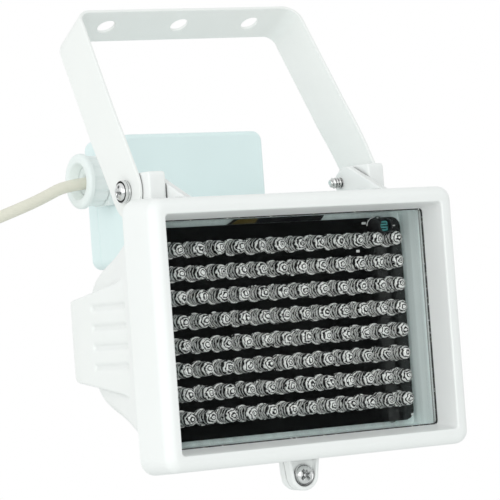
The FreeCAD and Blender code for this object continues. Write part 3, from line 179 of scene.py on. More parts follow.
class NodeSheet(NodeBench):
    """The nodes of one material, round a Principled shader."""

    def __init__(self, name: str) -> None:
        """Starts a material that holds the shader alone.

        Args:
            name: The material's name.
        """
        self.material = bpy.data.materials.new(name)
        self.material.use_nodes = True
        super().__init__(self.material.node_tree)
        self.shader = next(node for node in self.nodes if node.type == "BSDF_PRINCIPLED")
        self.output = next(node for node in self.nodes if node.type == "OUTPUT_MATERIAL")
        self.spot = self.add("TexCoord", {}).outputs["Object"]

    def set(self, **values: float | tuple[float, ...]) -> None:
        """Sets sockets of the shader by their names, written with underscores."""
        for key, value in values.items():
            self.shader.inputs[key.replace("_", " ")].default_value = value

    def drive(self, socket: str, value: Socket) -> None:
        """Joins a worked-out value to one socket of the shader."""
        self.links.new(value, self.shader.inputs[socket])

    def dull(self, value: Socket, roughness: float, less: float, more: float) -> None:
        """Lets the roughness follow a value, from a bit less to a bit more than the usual."""
        self.drive("Roughness", self.spread(value, roughness - less, roughness + more))

    def noise(self, size: float, detail: float = 2.0, stretch: Triple = (1.0, 1.0, 1.0),
              rough: float = 0.5) -> Socket:
        """Adds noise whose lumps have a given size.

        Args:
            size: The width of a lump in millimetres.
            detail: How many finer layers the noise holds.
            stretch: How much longer the lumps are along each axis.
            rough: How strong the finer layers are.

        Returns:
            The noise's value, about 0.5.
        """
        scale = tuple(1.0 / (size * MM * part) for part in stretch)
        spot = self.add("Mapping", {"Vector": self.spot, "Scale": scale}).outputs["Vector"]
        noise = self.add("TexNoise", {"Vector": spot, "Scale": 1.0, "Detail": detail, "Roughness": rough})
        return noise.outputs["Fac"]

    def reach_from(self, centre: Vector, pitch: Pair) -> Socket:
        """Gives the distance from the nearest point of a grid square to Y.

        Args:
            centre: One point of the grid, in metres.
            pitch: The grid's two pitches in millimetres.

        Returns:
            The distance in metres.
        """
        half = Vector((pitch[0] / 2 * MM, 1.0, pitch[1] / 2 * MM))
        shift = self.add("VectorMath", {0: self.spot, 1: centre}, operation="SUBTRACT")
        wrap = self.add("VectorMath", {0: shift.outputs[0], 1: half, 2: -half}, operation="WRAP")
        return self.add("VectorMath", {0: wrap.outputs[0]}, operation="LENGTH").outputs["Value"]

    def part_of_spot(self, axis: str) -> Socket:
        """Gives one coordinate of the place that is shaded, in metres."""
        return self.add("SeparateXYZ", {0: self.spot}).outputs[axis]

    def waves(self, reach: Socket, period: float, stir: float) -> Socket:
        """Gives waves from -1 to 1 along a distance, one each period, stirred by noise in millimetres."""
        stirred = self.work("ADD", reach, self.work("MULTIPLY", self.noise(1.3), stir * MM))
        return self.work("SINE", self.work("MULTIPLY", stirred, math.tau / (period * MM)))

    def paint_crevice_shade(self, colour: Socket, reach: float, dark: float, span: Pair) -> Socket:
        """Paints shade into a colour where surfaces meet closely: painted crevice shade, from ambient
        occlusion.

        Args:
            colour: The colour.
            reach: How far a surface near by counts, in millimetres.
            dark: The share of the colour that is left in the deepest gap.
            span: How open a place is where it is darkest, and where the darkening ends.

        Returns:
            The darkened colour.
        """
        # Painted shade: ambient occlusion darkens the colour in gaps, crevices and where parts meet.
        near = self.add("AmbientOcclusion", {"Distance": reach * MM}, samples=6)
        share = self.spread(near.outputs["AO"], dark, 1.0, *span)
        return self.add("VectorMath", {0: colour, "Scale": share}, operation="SCALE").outputs[0]

    def spread(self, value: Socket, low: float, high: float, start: float = 0.3, end: float = 0.7) -> Socket:
        """Maps a value that runs from start to end onto a range from low to high."""
        ends = {"From Min": start, "From Max": end, "To Min": low, "To Max": high}
        return self.add("MapRange", {"Value": value, **ends}).outputs["Result"]

    def tint(self, factor: Socket, first: Colour, second: Colour) -> Socket:
        """Blends two colours by a value from 0 to 1."""
        sockets = {0: factor, 6: (*first, 1.0), 7: (*second, 1.0)}
        return self.add("Mix", sockets, data_type="RGBA").outputs[2]

    def raise_by(self, *layers: tuple[Socket, float]) -> None:
        """Raises the surface by heights.

        Args:
            *layers: Each a value, and what 1 stands for in millimetres.
        """
        below = {}
        for value, depth in layers:
            bump = self.add("Bump", {"Height": value, "Strength": 1.0, "Distance": depth * MM, **below})
            below = {"Normal": bump.outputs["Normal"]}
        self.drive("Normal", below["Normal"])

    def blend_in(self, share: Socket, other: Socket) -> None:
        """Blends a second shader into the surface by a share from 0 to 1."""
        self.blend(share, self.shader.outputs["BSDF"], other, self.output.inputs["Surface"])

    def lift_to_sight(self, share: float) -> None:
        """Blends white into what the camera sees of the surface, and leaves all other light as it is."""
        seen = self.add("LightPath", {}).outputs["Is Camera Ray"]
        self.blend_in(self.work("MULTIPLY", seen, share), self.add("Emission", {}).outputs[0])

    def let_light_by(self) -> None:
        """Lets lamps and soft light through, so that what lies behind clear parts is lit."""
        path = self.add("LightPath", {}).outputs
        soft = self.work("MAXIMUM", path["Is Shadow Ray"], path["Is Diffuse Ray"])
        self.blend_in(soft, self.add("BsdfTransparent", {}).outputs["BSDF"])


@dataclass(frozen=True)
class Finish:
    """A surface finish, which makes its own material.

    Args:
        name: The material's name.
        colour: Its main colour, linear.
        roughness: How dull it is.
    """

    name: str
    colour: Colour
    roughness: float = 0.4

    def shaded(self, share: float) -> Colour:
        """Gives the main colour made lighter or darker by a share."""
        return tuple(min(1.0, part * share) for part in self.colour)

    def clouded(self, sheet: NodeSheet, value: Socket, low: float, high: float) -> Socket:
        """Gives the main colour shaded from a low to a high share, as a value goes from 0 to 1."""
        return sheet.tint(value, self.shaded(low), self.shaded(high))

    def make(self) -> bpy.types.Material:
        """Makes the finish's material.

        Returns:
            The material.
        """
        sheet = NodeSheet(self.name)
        self.dress(sheet)
        return sheet.material

    def dress(self, sheet: NodeSheet) -> None:
        """Gives the main colour soft clouds in tone and gloss.

        Args:
            sheet: The material's nodes.
        """
        cloud = sheet.noise(14.0, 3.0)
        sheet.drive("Base Color", self.clouded(sheet, cloud, 0.97, 1.02))
        sheet.dull(cloud, self.roughness, 0.05, 0.05)
        sheet.raise_by((sheet.noise(0.5), 0.01))


@dataclass(frozen=True)
class PowderCoat(Finish):
    """Baked powder on cast or bent metal: soft orange peel over slow waves, and shade in the crevices.

    Args:
        peel: The height of the orange peel in millimetres.
        wave: The height of the waves.
        reach: How far a surface near by throws shade, in millimetres.
        dark: The share of the colour that is left in the deepest gap.
        open_from: How open a place is where the shade ends.
    """

    peel: float = 0.02
    wave: float = 0.05
    reach: float = 0.9
    dark: float = 0.12
    open_from: float = 0.62

    def dress(self, sheet: NodeSheet) -> None:
        """Gives the coat its clouds, its shade and its peel.

        Args:
            sheet: The material's nodes.
        """
        tone = self.clouded(sheet, sheet.noise(22.0, 3.0), 0.975, 1.02)
        # Painted shade: the coat's colour is darkened in crevices and where parts meet.
        sheet.drive("Base Color", sheet.paint_crevice_shade(tone, self.reach, self.dark, (0.15, self.open_from)))
        sheet.dull(sheet.noise(3.0), self.roughness, 0.06, 0.07)
        sheet.raise_by((sheet.noise(9.0, 1.0), self.wave), (sheet.noise(0.9), self.peel))
        sheet.set(Specular_IOR_Level=0.5)


@dataclass(frozen=True)
class MouldedPlastic(Finish):
    """Moulded plastic: fine spark-eroded grain and faint flow clouds.

    Args:
        grain: The height of the grain in millimetres.
    """

    grain: float = 0.006

    def dress(self, sheet: NodeSheet) -> None:
        """Gives the plastic its clouds and its grain.

        Args:
            sheet: The material's nodes.
        """
        cloud = sheet.noise(17.0, stretch=(1.0, 1.0, 2.5))
        sheet.drive("Base Color", self.clouded(sheet, cloud, 0.97, 1.015))
        sheet.dull(sheet.noise(2.0, 3.0), self.roughness, 0.05, 0.06)
        sheet.raise_by((sheet.noise(0.35), self.grain), (sheet.noise(6.0, 1.0), self.grain * 3.0))


@dataclass(frozen=True)
class ClearGlass(Finish):
    """Toughened glass, faintly uneven, that lets the lamps reach what it covers.

    Args:
        index: Its index of refraction.
    """

    index: float = 1.5

    def dress(self, sheet: NodeSheet) -> None:
        """Makes the surface clear.

        Args:
            sheet: The material's nodes.
        """
        sheet.set(Base_Color=(*self.colour, 1.0), Roughness=self.roughness, IOR=self.index,
                  Transmission_Weight=1.0)
        sheet.raise_by((sheet.noise(40.0, 1.0), 0.01))
        sheet.let_light_by()


@dataclass(frozen=True)
class CastEpoxy(ClearGlass):
    """Clear cast epoxy of the emitters: painted glints and reflections in fine rings about each tip, and a
    painted dark line round each dome, over a clear depth.

    Args:
        clear: The share of the light that goes through.
        dark: The share of the colour that is left between the painted glints.
        metal: How metallic the painted glints are.
        period: The width of one ring in millimetres.
        stir: How far noise moves the rings, in millimetres.
        depth: How far the rings shift for each millimetre along the emitter.
        shoulder: How far from the tip the painted dark line runs round, in millimetres.
        tip: The tip of one emitter.
        relief: The height of the rings and of the noise between them, in millimetres.
    """

    clear: float = 0.05
    dark: float = 0.01
    metal: float = 0.1
    period: float = 0.84
    stir: float = 1.6
    depth: float = -0.34
    shoulder: float = 3.3
    tip: Triple = (-43.0, 13.7, -28.0)
    relief: Pair = (0.11, 0.12)

    def dress(self, sheet: NodeSheet) -> None:
        """Gives the epoxy its rings, its painted glints, light patches and dark line, and its clear depth.

        Args:
            sheet: The material's nodes.
        """
        reach = sheet.reach_from(place(self.tip), EMITTER_PITCH)
        drift = sheet.work("MULTIPLY", sheet.part_of_spot("Y"), self.depth)
        rings = sheet.waves(sheet.work("ADD", reach, drift), self.period, self.stir)
        # Painted light: bright rings and patches, and a dark line round each dome, stand in for the
        # highlights, reflections and dark edges that the clear lens shows.
        painted_light_patch = sheet.spread(sheet.noise(0.8, 3.0, rough=0.7), 0.3, 1.0, 0.36, 0.46)
        line = sheet.work("ABSOLUTE", sheet.work("SUBTRACT", reach, self.shoulder * MM))
        painted_glint = sheet.work("MULTIPLY", sheet.spread(rings, 0.0, 1.0, -0.35, 0.0), painted_light_patch)
        painted_glint = sheet.work("MULTIPLY", painted_glint, sheet.spread(line, 0.0, 1.0, 0.1 * MM, 0.35 * MM))
        sheet.drive("Base Color", sheet.tint(painted_glint, self.shaded(self.dark), self.colour))
        sheet.drive("Metallic", sheet.work("MULTIPLY", painted_glint, self.metal))
        sheet.set(Roughness=self.roughness, IOR=self.index, Transmission_Weight=self.clear)
        sheet.raise_by((rings, self.relief[0]), (sheet.noise(1.1), self.relief[1]))
        sheet.let_light_by()


@dataclass(frozen=True)
class DrawnMetal(Finish):
    """Bare metal with fine lines in one direction, soft clouds, and painted shade in its crevices.

    Args:
        grain: How much longer the lines are along each axis.
        line: The width of a line in millimetres.
        depth: The depth of the lines.
        painted_shade_span: How open a place is where its painted crevice shade is darkest, and where that
            shade ends.
    """

    grain: Triple = (1.0, 1.0, 30.0)
    line: float = 0.25
    depth: float = 0.003
    painted_shade_span: Pair = (0.15, 0.62)

    def dress(self, sheet: NodeSheet) -> None:
        """Gives the metal its lines, its clouds and its painted crevice shade.

        Args:
            sheet: The material's nodes.
        """
        lines = sheet.noise(self.line, 3.0, self.grain, 0.65)
        tone = self.clouded(sheet, sheet.noise(12.0), 0.9, 1.04)
        # Painted shade: ambient occlusion darkens the metal round screw heads and in its crevices.
        sheet.drive("Base Color", sheet.paint_crevice_shade(tone, 1.3, 0.03, self.painted_shade_span))
        sheet.dull(lines, self.roughness, 0.08, 0.12)
        sheet.raise_by((lines, self.depth))
        sheet.set(Metallic=1.0)


@dataclass(frozen=True)
class SatinSheet(Finish):
    """Rolled sheet with a satin face: fine upright lines, and soft tarnish between them.

    Args:
        metal: How metallic it is.
    """

    metal: float = 0.35

    def dress(self, sheet: NodeSheet) -> None:
        """Gives the sheet its lines and its tarnish.

        Args:
            sheet: The material's nodes.
        """
        streak = sheet.spread(sheet.noise(2.6, 3.0, (1.0, 1.0, 25.0)), 0.0, 1.0)
        line = sheet.noise(0.3, stretch=(1.0, 1.0, 50.0))
        sheet.drive("Base Color", self.clouded(sheet, streak, 0.86, 1.0))
        sheet.dull(line, self.roughness, 0.1, 0.1)
        sheet.set(Metallic=self.metal)
        sheet.raise_by((line, 0.004))


@dataclass(frozen=True)
class Rubber(Finish):
    """Rubber or silicone, dull, with a dusting of talc."""

    def dress(self, sheet: NodeSheet) -> None:
        """Gives the rubber its dust.

        Args:
            sheet: The material's nodes.
        """
        dust = sheet.noise(4.0, 5.0, rough=0.7)
        sheet.drive("Base Color", self.clouded(sheet, sheet.spread(dust, 0.0, 1.0, 0.45, 0.8), 1.0, 1.3))
        sheet.dull(dust, self.roughness, 0.05, 0.1)
        sheet.raise_by((sheet.noise(0.3), 0.01))


@dataclass(frozen=True)
class ShadeLineBead(Finish):
    """Dark sealing bead, whose black stands in for the shade line at the window's edge, with painted glints.

    Args:
        painted_glint_width: The width of a painted highlight in millimetres.
        bright: The colour of the painted glints.
    """

    painted_glint_width: float = 1.1
    bright: Colour = (0.85, 0.87, 0.86)

    def dress(self, sheet: NodeSheet) -> None:
        """Gives the bead its painted glints.

        Args:
            sheet: The material's nodes.
        """
        # Painted highlights: bright flecks in the dark colour.
        painted_glint = sheet.spread(sheet.noise(self.painted_glint_width, 3.0, rough=0.7), 0.0, 1.0, 0.6, 0.66)
        sheet.drive("Base Color", sheet.tint(painted_glint, self.colour, self.bright))
        sheet.set(Roughness=self.roughness)
        sheet.raise_by((sheet.noise(0.8), 0.05))


@dataclass(frozen=True)
class SolderMask(Finish):
    """Glossy solder mask over glass cloth: a faint weave, and soft clouds in its tone."""

    def dress(self, sheet: NodeSheet) -> None:
        """Gives the mask its clouds and its weave.

        Args:
            sheet: The material's nodes.
        """
        cloud = sheet.noise(8.0)
        sheet.drive("Base Color", self.clouded(sheet, cloud, 1.0, 1.6))
        sheet.dull(cloud, self.roughness, 0.04, 0.08)
        sheet.raise_by((sheet.noise(0.5, 1.0), 0.006), (sheet.noise(5.0, 1.0), 0.02))


@dataclass(frozen=True)
class Sheath(Finish):
    """Extruded cable sheath: slightly uneven skin with handling marks."""

    def dress(self, sheet: NodeSheet) -> None:
        """Gives the sheath its clouds, its marks and a faint sheen.

        Args:
            sheet: The material's nodes.
        """
        sheet.drive("Base Color", self.clouded(sheet, sheet.noise(9.0, 4.0, rough=0.6), 0.93, 1.03))
        sheet.dull(sheet.noise(2.5), self.roughness, 0.06, 0.08)
        sheet.raise_by((sheet.noise(1.2), 0.02), (sheet.noise(0.25), 0.004))
        sheet.set(Sheen_Weight=0.08)


@functools.cache
def material_of(finish: Finish) -> bpy.types.Material:
    """Gives the one material that a finish makes."""
    return finish.make()


# What the illuminator's pieces are finished with.
# The white coats paint shade into gaps and crevices; the housing's coat paints it deeper and wider, over its
# grooves and the lines where its parts meet.
WHITE_COAT = PowderCoat("warm_white_powder", (0.885, 0.9, 0.893), 0.4)
DEEP_SHADE_CAST_COAT = PowderCoat("white_cast_powder_deep_painted_shade", (0.89, 0.905, 0.898), 0.4, reach=2.4, dark=0.4, open_from=0.86)
STRIP_COAT = PowderCoat("white_strip_powder", (0.875, 0.89, 0.875), 0.36, peel=0.012, wave=0.02)
FRONT_GLASS = ClearGlass("toughened_glass", (0.985, 1.0, 0.993), 0.0)
CLEAR_SILICONE = Rubber("clear_silicone", (0.78, 0.83, 0.82), 0.4)
GREY_RUBBER = Rubber("grey_rubber", (0.09, 0.095, 0.1), 0.6)
PALE_RUBBER = Rubber("pale_rubber", (0.74, 0.8, 0.79), 0.6)
TRAY_SHEET = SatinSheet("satin_tray_sheet", (0.9, 1.0, 0.99), 0.4, metal=0.08)
BLACK_MASK = SolderMask("black_solder_mask", (0.0035, 0.004, 0.004), 0.14)
FOAM_TAPE = Rubber("foam_tape", (0.5, 0.5, 0.48), 0.8)
LENS_EPOXY = CastEpoxy("clear_lens_epoxy", (1.0, 1.0, 0.985), 0.16, index=1.53)
CELL_FACE = MouldedPlastic("cell_ceramic", (0.006, 0.03, 0.03), 0.3)
BLACK_SLEEVE = MouldedPlastic("black_sleeve", (0.012, 0.012, 0.013), 0.45)
RESISTOR_BODY = MouldedPlastic("resistor_lacquer", (0.32, 0.45, 0.55), 0.35)
MODULE_BODY = MouldedPlastic("module_case", (0.03, 0.05, 0.09), 0.4)
BOX_PLASTIC = MouldedPlastic("pale_box_plastic", (0.79, 0.92, 0.925), 0.34)
GLAND_PLASTIC = MouldedPlastic("gland_nylon", (0.84, 0.90, 0.89), 0.38)
BLOCK_PLASTIC = MouldedPlastic("terminal_block_nylon", (0.72, 0.74, 0.7), 0.4)
# Painted shade: both zinc finishes darken their colour in crevices; the thread's finish darkens most of its
# flanks and roots.
ZINC = DrawnMetal("zinc_plate", (0.72, 0.73, 0.73), 0.2, grain=(1.0, 1.0, 1.0), line=0.3, depth=0.01)
SHADED_THREAD_ZINC = DrawnMetal("zinc_thread_painted_shade", (0.75, 0.76, 0.75), 0.22, grain=(1.0, 1.0, 1.0), line=0.5,
                        depth=0.08, painted_shade_span=(0.62, 0.92))
FIBRE = Rubber("washer_fibre", (0.62, 0.62, 0.6), 0.7)
CREAM_SHEATH = Sheath("cream_cable_sheath", (0.76, 0.745, 0.64), 0.42)
CORE_SHEATH = Sheath("core_sheath", (0.45, 0.05, 0.04), 0.4)
LEAD_SHEATH = Sheath("lead_sheath", (0.02, 0.02, 0.022), 0.4)
TIE_PLASTIC = MouldedPlastic("tie_nylon", (0.80, 0.79, 0.74), 0.35)
PLUG_PLASTIC = MouldedPlastic("plug_moulding", (0.025, 0.025, 0.027), 0.38)
CONTACT_METAL = DrawnMetal("contact_nickel", (0.72, 0.70, 0.66), 0.2, grain=(1.0, 1.0, 12.0))
INSULATOR = MouldedPlastic("plug_insulator", (0.04, 0.04, 0.045), 0.45)
LEAD_FRAME = SatinSheet("lead_frame_plate", (0.9, 0.9, 0.88), 0.3, metal=0.6)
CELL_TRACK = MouldedPlastic("cell_track", (0.1, 0.42, 0.42), 0.4)
# Painted reflection: the black foam and the amber tape line the tray's upper wall in place of its dark
# reflection.
PAINTED_REFLECTION_FOAM = Rubber("black_foam_painted_reflection", (0.006, 0.007, 0.008), 0.8)
# Painted shade: the edge bead's black stands in for the shade line between glass and bezel, and its glints
# are painted highlights.
SHADE_LINE_BEAD = ShadeLineBead("edge_bead_painted_shade", (0.008, 0.009, 0.009), 0.35)
PAINTED_REFLECTION_TAPE = Finish("amber_tape_painted_reflection", (0.10, 0.07, 0.006), 0.3)
WHITE_INK = Finish("white_ink", (0.7, 0.71, 0.7), 0.6)

# The finish of each material slot, for the nodes that keep their own mesh.
SLOT_FINISHES: dict[str, Finish] = {
    "white_casting": WHITE_COAT, "white_strip": STRIP_COAT, "front_glass": FRONT_GLASS,
    "clear_silicone": CLEAR_SILICONE, "grey_rubber": GREY_RUBBER, "pale_rubber": PALE_RUBBER,
    "bright_sheet": TRAY_SHEET, "black_board": BLACK_MASK, "foam_tape": FOAM_TAPE,
    "clear_epoxy": LENS_EPOXY, "cell_face": CELL_FACE, "black_sleeve": BLACK_SLEEVE,
    "resistor_body": RESISTOR_BODY, "module_body": MODULE_BODY, "box_plastic": BOX_PLASTIC,
    "gland_plastic": GLAND_PLASTIC, "block_plastic": BLOCK_PLASTIC, "zinc_steel": ZINC,
    "washer_fibre": FIBRE, "cream_sheath": CREAM_SHEATH, "core_sheath": CORE_SHEATH,
    "lead_sheath": LEAD_SHEATH, "tie_plastic": TIE_PLASTIC, "plug_plastic": PLUG_PLASTIC,
    "contact_metal": CONTACT_METAL, "contact_insulator": INSULATOR,
}


# Forms


def rounded(half_width: float, half_height: float, radius: float, u: float = 0.0, v: float = 0.0,
            steps: int = 8) -> Outline:
    """Gives the outline of a rectangle with round corners, anticlockwise.

    Args:
        half_width: Half of its width.
        half_height: Half of its height.
        radius: The radius of its corners.
        u: Its middle's first number.
        v: Its middle's second number.
        steps: The runs in each corner.

    Returns:
        The outline's points.
    """
    outline = []
    for index, (side, end) in enumerate(((1, 1), (-1, 1), (-1, -1), (1, -1))):
        for step in range(steps + 1):
            turn = math.radians(90.0 * (index + step / steps))
            outline.append((u + side * (half_width - radius) + radius * math.cos(turn),
                            v + end * (half_height - radius) + radius * math.sin(turn)))
    return outline


def arc(u: float, v: float, radius: float, start: float, end: float, steps: int = 12) -> Outline:
    """Gives points along an arc about a centre, from one angle in degrees to another."""
    turns = [math.radians(start + (end - start) * step / steps) for step in range(steps + 1)]
    return [(u + radius * math.cos(turn), v + radius * math.sin(turn)) for turn in turns]


def inset(outline: Outline, amount: float) -> Outline:
    """Moves an anticlockwise outline inwards, square to its runs.

    Args:
        outline: The outline.
        amount: How far each run moves.

    Returns:
        The moved outline.
    """
    least_dot = 0.35
    moved = []
    for index, (u, v) in enumerate(outline):
        before, after = outline[index - 1], outline[(index + 1) % len(outline)]
        run_in, run_out = Vector((u - before[0], v - before[1])), Vector((after[0] - u, after[1] - v))
        first = Vector((-run_in.y, run_in.x)).normalized()
        second = Vector((-run_out.y, run_out.x)).normalized()
        middle = (first + second).normalized()
        reach = amount / max(least_dot, middle.dot(first))
        moved.append((u + middle.x * reach, v + middle.y * reach))
    return moved


def stand(outline: Outline, along: float, axis: Axis) -> list[Vector]:
    """Stands an outline up square to an axis.

    Args:
        outline: The outline.
        along: Its place along the axis.
        axis: The axis.

    Returns:
        The outline's points.
    """
    points = []
    for u, v in outline:
        point = Vector((0.0, 0.0, 0.0))
        for index, number in zip(axis.value, (along, u, v)):
            point[index] = number
        points.append(point)
    return points


class Form:
    """Points and faces in millimetres, on their way to a mesh."""

    def __init__(self) -> None:
        """Starts an empty form."""
        self.points: list[Vector] = []
        self.faces: list[tuple[int, ...]] = []

    def skin(self, rings: Sequence[Ring], loop: bool = False, caps: bool = True) -> "Form":
        """Joins rings of equal count into one surface.

        Args:
            rings: The rings, each a closed row of points.
            loop: Whether the last ring joins the first.
            caps: Whether the first and last ring are closed with a face.

        Returns:
            The form itself.
        """
        start, size, count = len(self.points), len(rings[0]), len(rings)
        for ring in rings:
            self.points.extend(ring)
        for index in range(count if loop else count - 1):
            near, far = start + index * size, start + (index + 1) % count * size
            for step in range(size):
                after = (step + 1) % size
                self.faces.append((near + step, near + after, far + after, far + step))
        if caps and not loop:
            self.faces.append(tuple(range(start + size - 1, start - 1, -1)))
            self.faces.append(tuple(range(start + (count - 1) * size, start + count * size)))
        return self

    def slab(self, outline: Outline, low: float, high: float, edge: float, axis: Axis,
             steps: int = 4) -> "Form":
        """Adds a plate with rounded edges.

        Args:
            outline: Its anticlockwise outline.
            low: Where it starts along the axis.
            high: Where it ends.
            edge: The radius of its edges.
            axis: The axis square to it.
            steps: The runs in each edge.

        Returns:
            The form itself.
        """
        turns = [math.radians(90.0 * step / steps) for step in range(steps + 1)]
        round_edge = [(edge * (1 - math.sin(turn)), edge * (1 - math.cos(turn))) for turn in turns]
        rings = [stand(inset(outline, shrink), low + rise, axis) for shrink, rise in round_edge]
        rings += [stand(inset(outline, shrink), high - rise, axis) for shrink, rise in reversed(round_edge)]
        return self.skin(rings)

    def lathe(self, profile: Outline, centre: Sequence[float], axis: Axis, segments: int = 48) -> "Form":
        """Turns a profile about an axis.

        Args:
            profile: Radius and place along the axis of each point.
            centre: A point on the axis, from which the places count.
            axis: The axis.
            segments: The sides of each ring.

        Returns:
            The form itself.
        """
        middle, first, second = (centre[index] for index in axis.value)
        last = 360.0 * (1 - 1 / segments)
        rings = []
        for radius, along in profile:
            outline = arc(first, second, max(radius, SMALLEST_RADIUS), 0.0, last, segments - 1)
            rings.append(stand(outline, middle + along, axis))
        return self.skin(rings, caps=False)

    def thread(self, radius: float, depth: float, pitch: float, start: float, end: float,
               centre: Sequence[float], axis: Axis) -> "Form":
        """Adds a threaded bar, tapered over its last turn.

        Args:
            radius: The outer radius.
            depth: The depth of the thread.
            pitch: The length of one turn.
            start: Where the bar starts along the axis.
            end: Where its tip is.
            centre: A point on the axis, from which the places count.
            axis: The axis.

        Returns:
            The form itself.
        """
        segments, rows_a_turn, least_rows, taper = 28, 6, 8, 1.4
        middle, first, second = (centre[index] for index in axis.value)
        rows = max(least_rows, round(abs(end - start) / pitch * rows_a_turn))
        rings = []
        for row in range(rows + 1):
            along = start + (end - start) * row / rows
            left = abs(end - along) / pitch
            ring = []
            for step in range(segments):
                phase = (abs(along - start) / pitch + step / segments) % 1.0
                height = radius - depth * abs(2 * phase - 1) - max(0.0, 1.0 - left) * depth * taper
                turn = math.tau * step / segments
                ring.append((first + height * math.cos(turn), second + height * math.sin(turn)))
            rings.append(stand(ring, middle + along, axis))
        return self.skin(rings)

    def moved(self, change: Matrix) -> "Form":
        """Moves every point of the form by a matrix and gives the form back."""
        self.points = [change @ point for point in self.points]
        return self

    def add(self, other: "Form") -> "Form":
        """Adds the points and faces of another form.

        Args:
            other: The other form.

        Returns:
            The form itself.
        """
        start = len(self.points)
        self.points.extend(other.points)
        self.faces.extend(tuple(start + index for index in face) for face in other.faces)
        return self

    def make(self, name: str, crease: float = CREASE) -> bpy.types.Object:
        """Makes the mesh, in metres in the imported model's frame.

        Args:
            name: The piece's name.
            crease: The angle from which an edge stays sharp, in degrees.

        Returns:
            The piece.
        """
        mesh = bpy.data.meshes.new(name)
        mesh.from_pydata([place(point) for point in self.points], [], self.faces)
        work = bmesh.new()
        work.from_mesh(mesh)
        bmesh.ops.remove_doubles(work, verts=work.verts, dist=WELD * MM)
        bmesh.ops.recalc_face_normals(work, faces=work.faces)
        work.to_mesh(mesh)
        work.free()
        return soften(put_up(name, mesh), crease)


def put_up(name: str, data: bpy.types.ID) -> bpy.types.Object:
    """Puts a mesh, a curve, a lamp or a camera into the scene.

    Args:
        name: The object's name.
        data: What it shows.

    Returns:
        The object.
    """
    thing = bpy.data.objects.new(name, data)
    bpy.context.scene.collection.objects.link(thing)
    return thing


def bake(piece: bpy.types.Object) -> bpy.types.Object:
    """Applies every modifier of a piece to its mesh.

    Args:
        piece: The piece.

    Returns:
        The piece.
    """
    graph = bpy.context.evaluated_depsgraph_get()
    mesh = bpy.data.meshes.new_from_object(piece.evaluated_get(graph))
    piece.modifiers.clear()
    old, piece.data = piece.data, mesh
    mesh.name = piece.name
    bpy.data.meshes.remove(old)
    return piece


def soften(piece: bpy.types.Object, crease: float) -> bpy.types.Object:
    """Shades a piece smooth, apart from edges sharper than an angle, with flat faces kept flat.

    Args:
        piece: The piece.
        crease: The angle in degrees.

    Returns:
        The piece.
    """
    piece.data.shade_smooth()
    piece.data.set_sharp_from_angle(angle=math.radians(crease))
    weigh = piece.modifiers.new("weigh_faces", "WEIGHTED_NORMAL")
    weigh.keep_sharp = True
    return bake(piece)


def carve(piece: bpy.types.Object, cut: Cut, *tools: bpy.types.Object,
          crease: float = CREASE) -> bpy.types.Object:
    """Cuts tools away from a piece, or joins them to it.

    Args:
        piece: The piece.
        cut: What is done.
        *tools: The other forms, which are used up.
        crease: The angle from which an edge stays sharp.

    Returns:
        The piece.
    """
    for tool in tools:
        step = piece.modifiers.new(tool.name, "BOOLEAN")
        step.operation = cut.value
        step.solver = "EXACT"
        step.object = tool
    bake(piece)
    for tool in tools:
        bpy.data.objects.remove(tool)
    return soften(piece, crease)


def join_node(piece: bpy.types.Object, finish: Finish, node: str) -> bpy.types.Object:
    """Dresses a piece in a finish, and gives it the body of a node.

    Args:
        piece: The piece, in place.
        finish: Its finish.
        node: The node that it belongs to.

    Returns:
        The piece.
    """
    piece.data.materials.clear()
    piece.data.materials.append(material_of(finish))
    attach(piece, frame["nodes"][node]["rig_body"])
    LOG.info("%s belongs to %s, in %s", piece.name, node, finish.name)
    return piece


def settle(piece: bpy.types.Object, finish: Finish, *nodes: str) -> bpy.types.Object:
    """Dresses a piece, hangs it on the body of its nodes and lets it stand for them.

    Args:
        piece: The piece, in place.
        finish: Its finish.
        *nodes: The nodes that it stands for, of one body.

    Returns:
        The piece.
    """
    join_node(piece, finish, nodes[0])
    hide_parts(*nodes)
    LOG.info("%s stands for %s", piece.name, ", ".join(nodes))
    return piece


def dress_node(node: str) -> None:
    """Gives a node that keeps its own mesh the finish of its material slot.

    Args:
        node: The node.
    """
    thing = frame["nodes"][node]
    material = material_of(SLOT_FINISHES[SLOTS[node]])
    if not thing.material_slots:
        thing.data.materials.append(material)
    for slot in thing.material_slots:
        slot.material = material
    LOG.info("%s keeps its mesh, in %s", node, material.name)


# Sub-assemblies


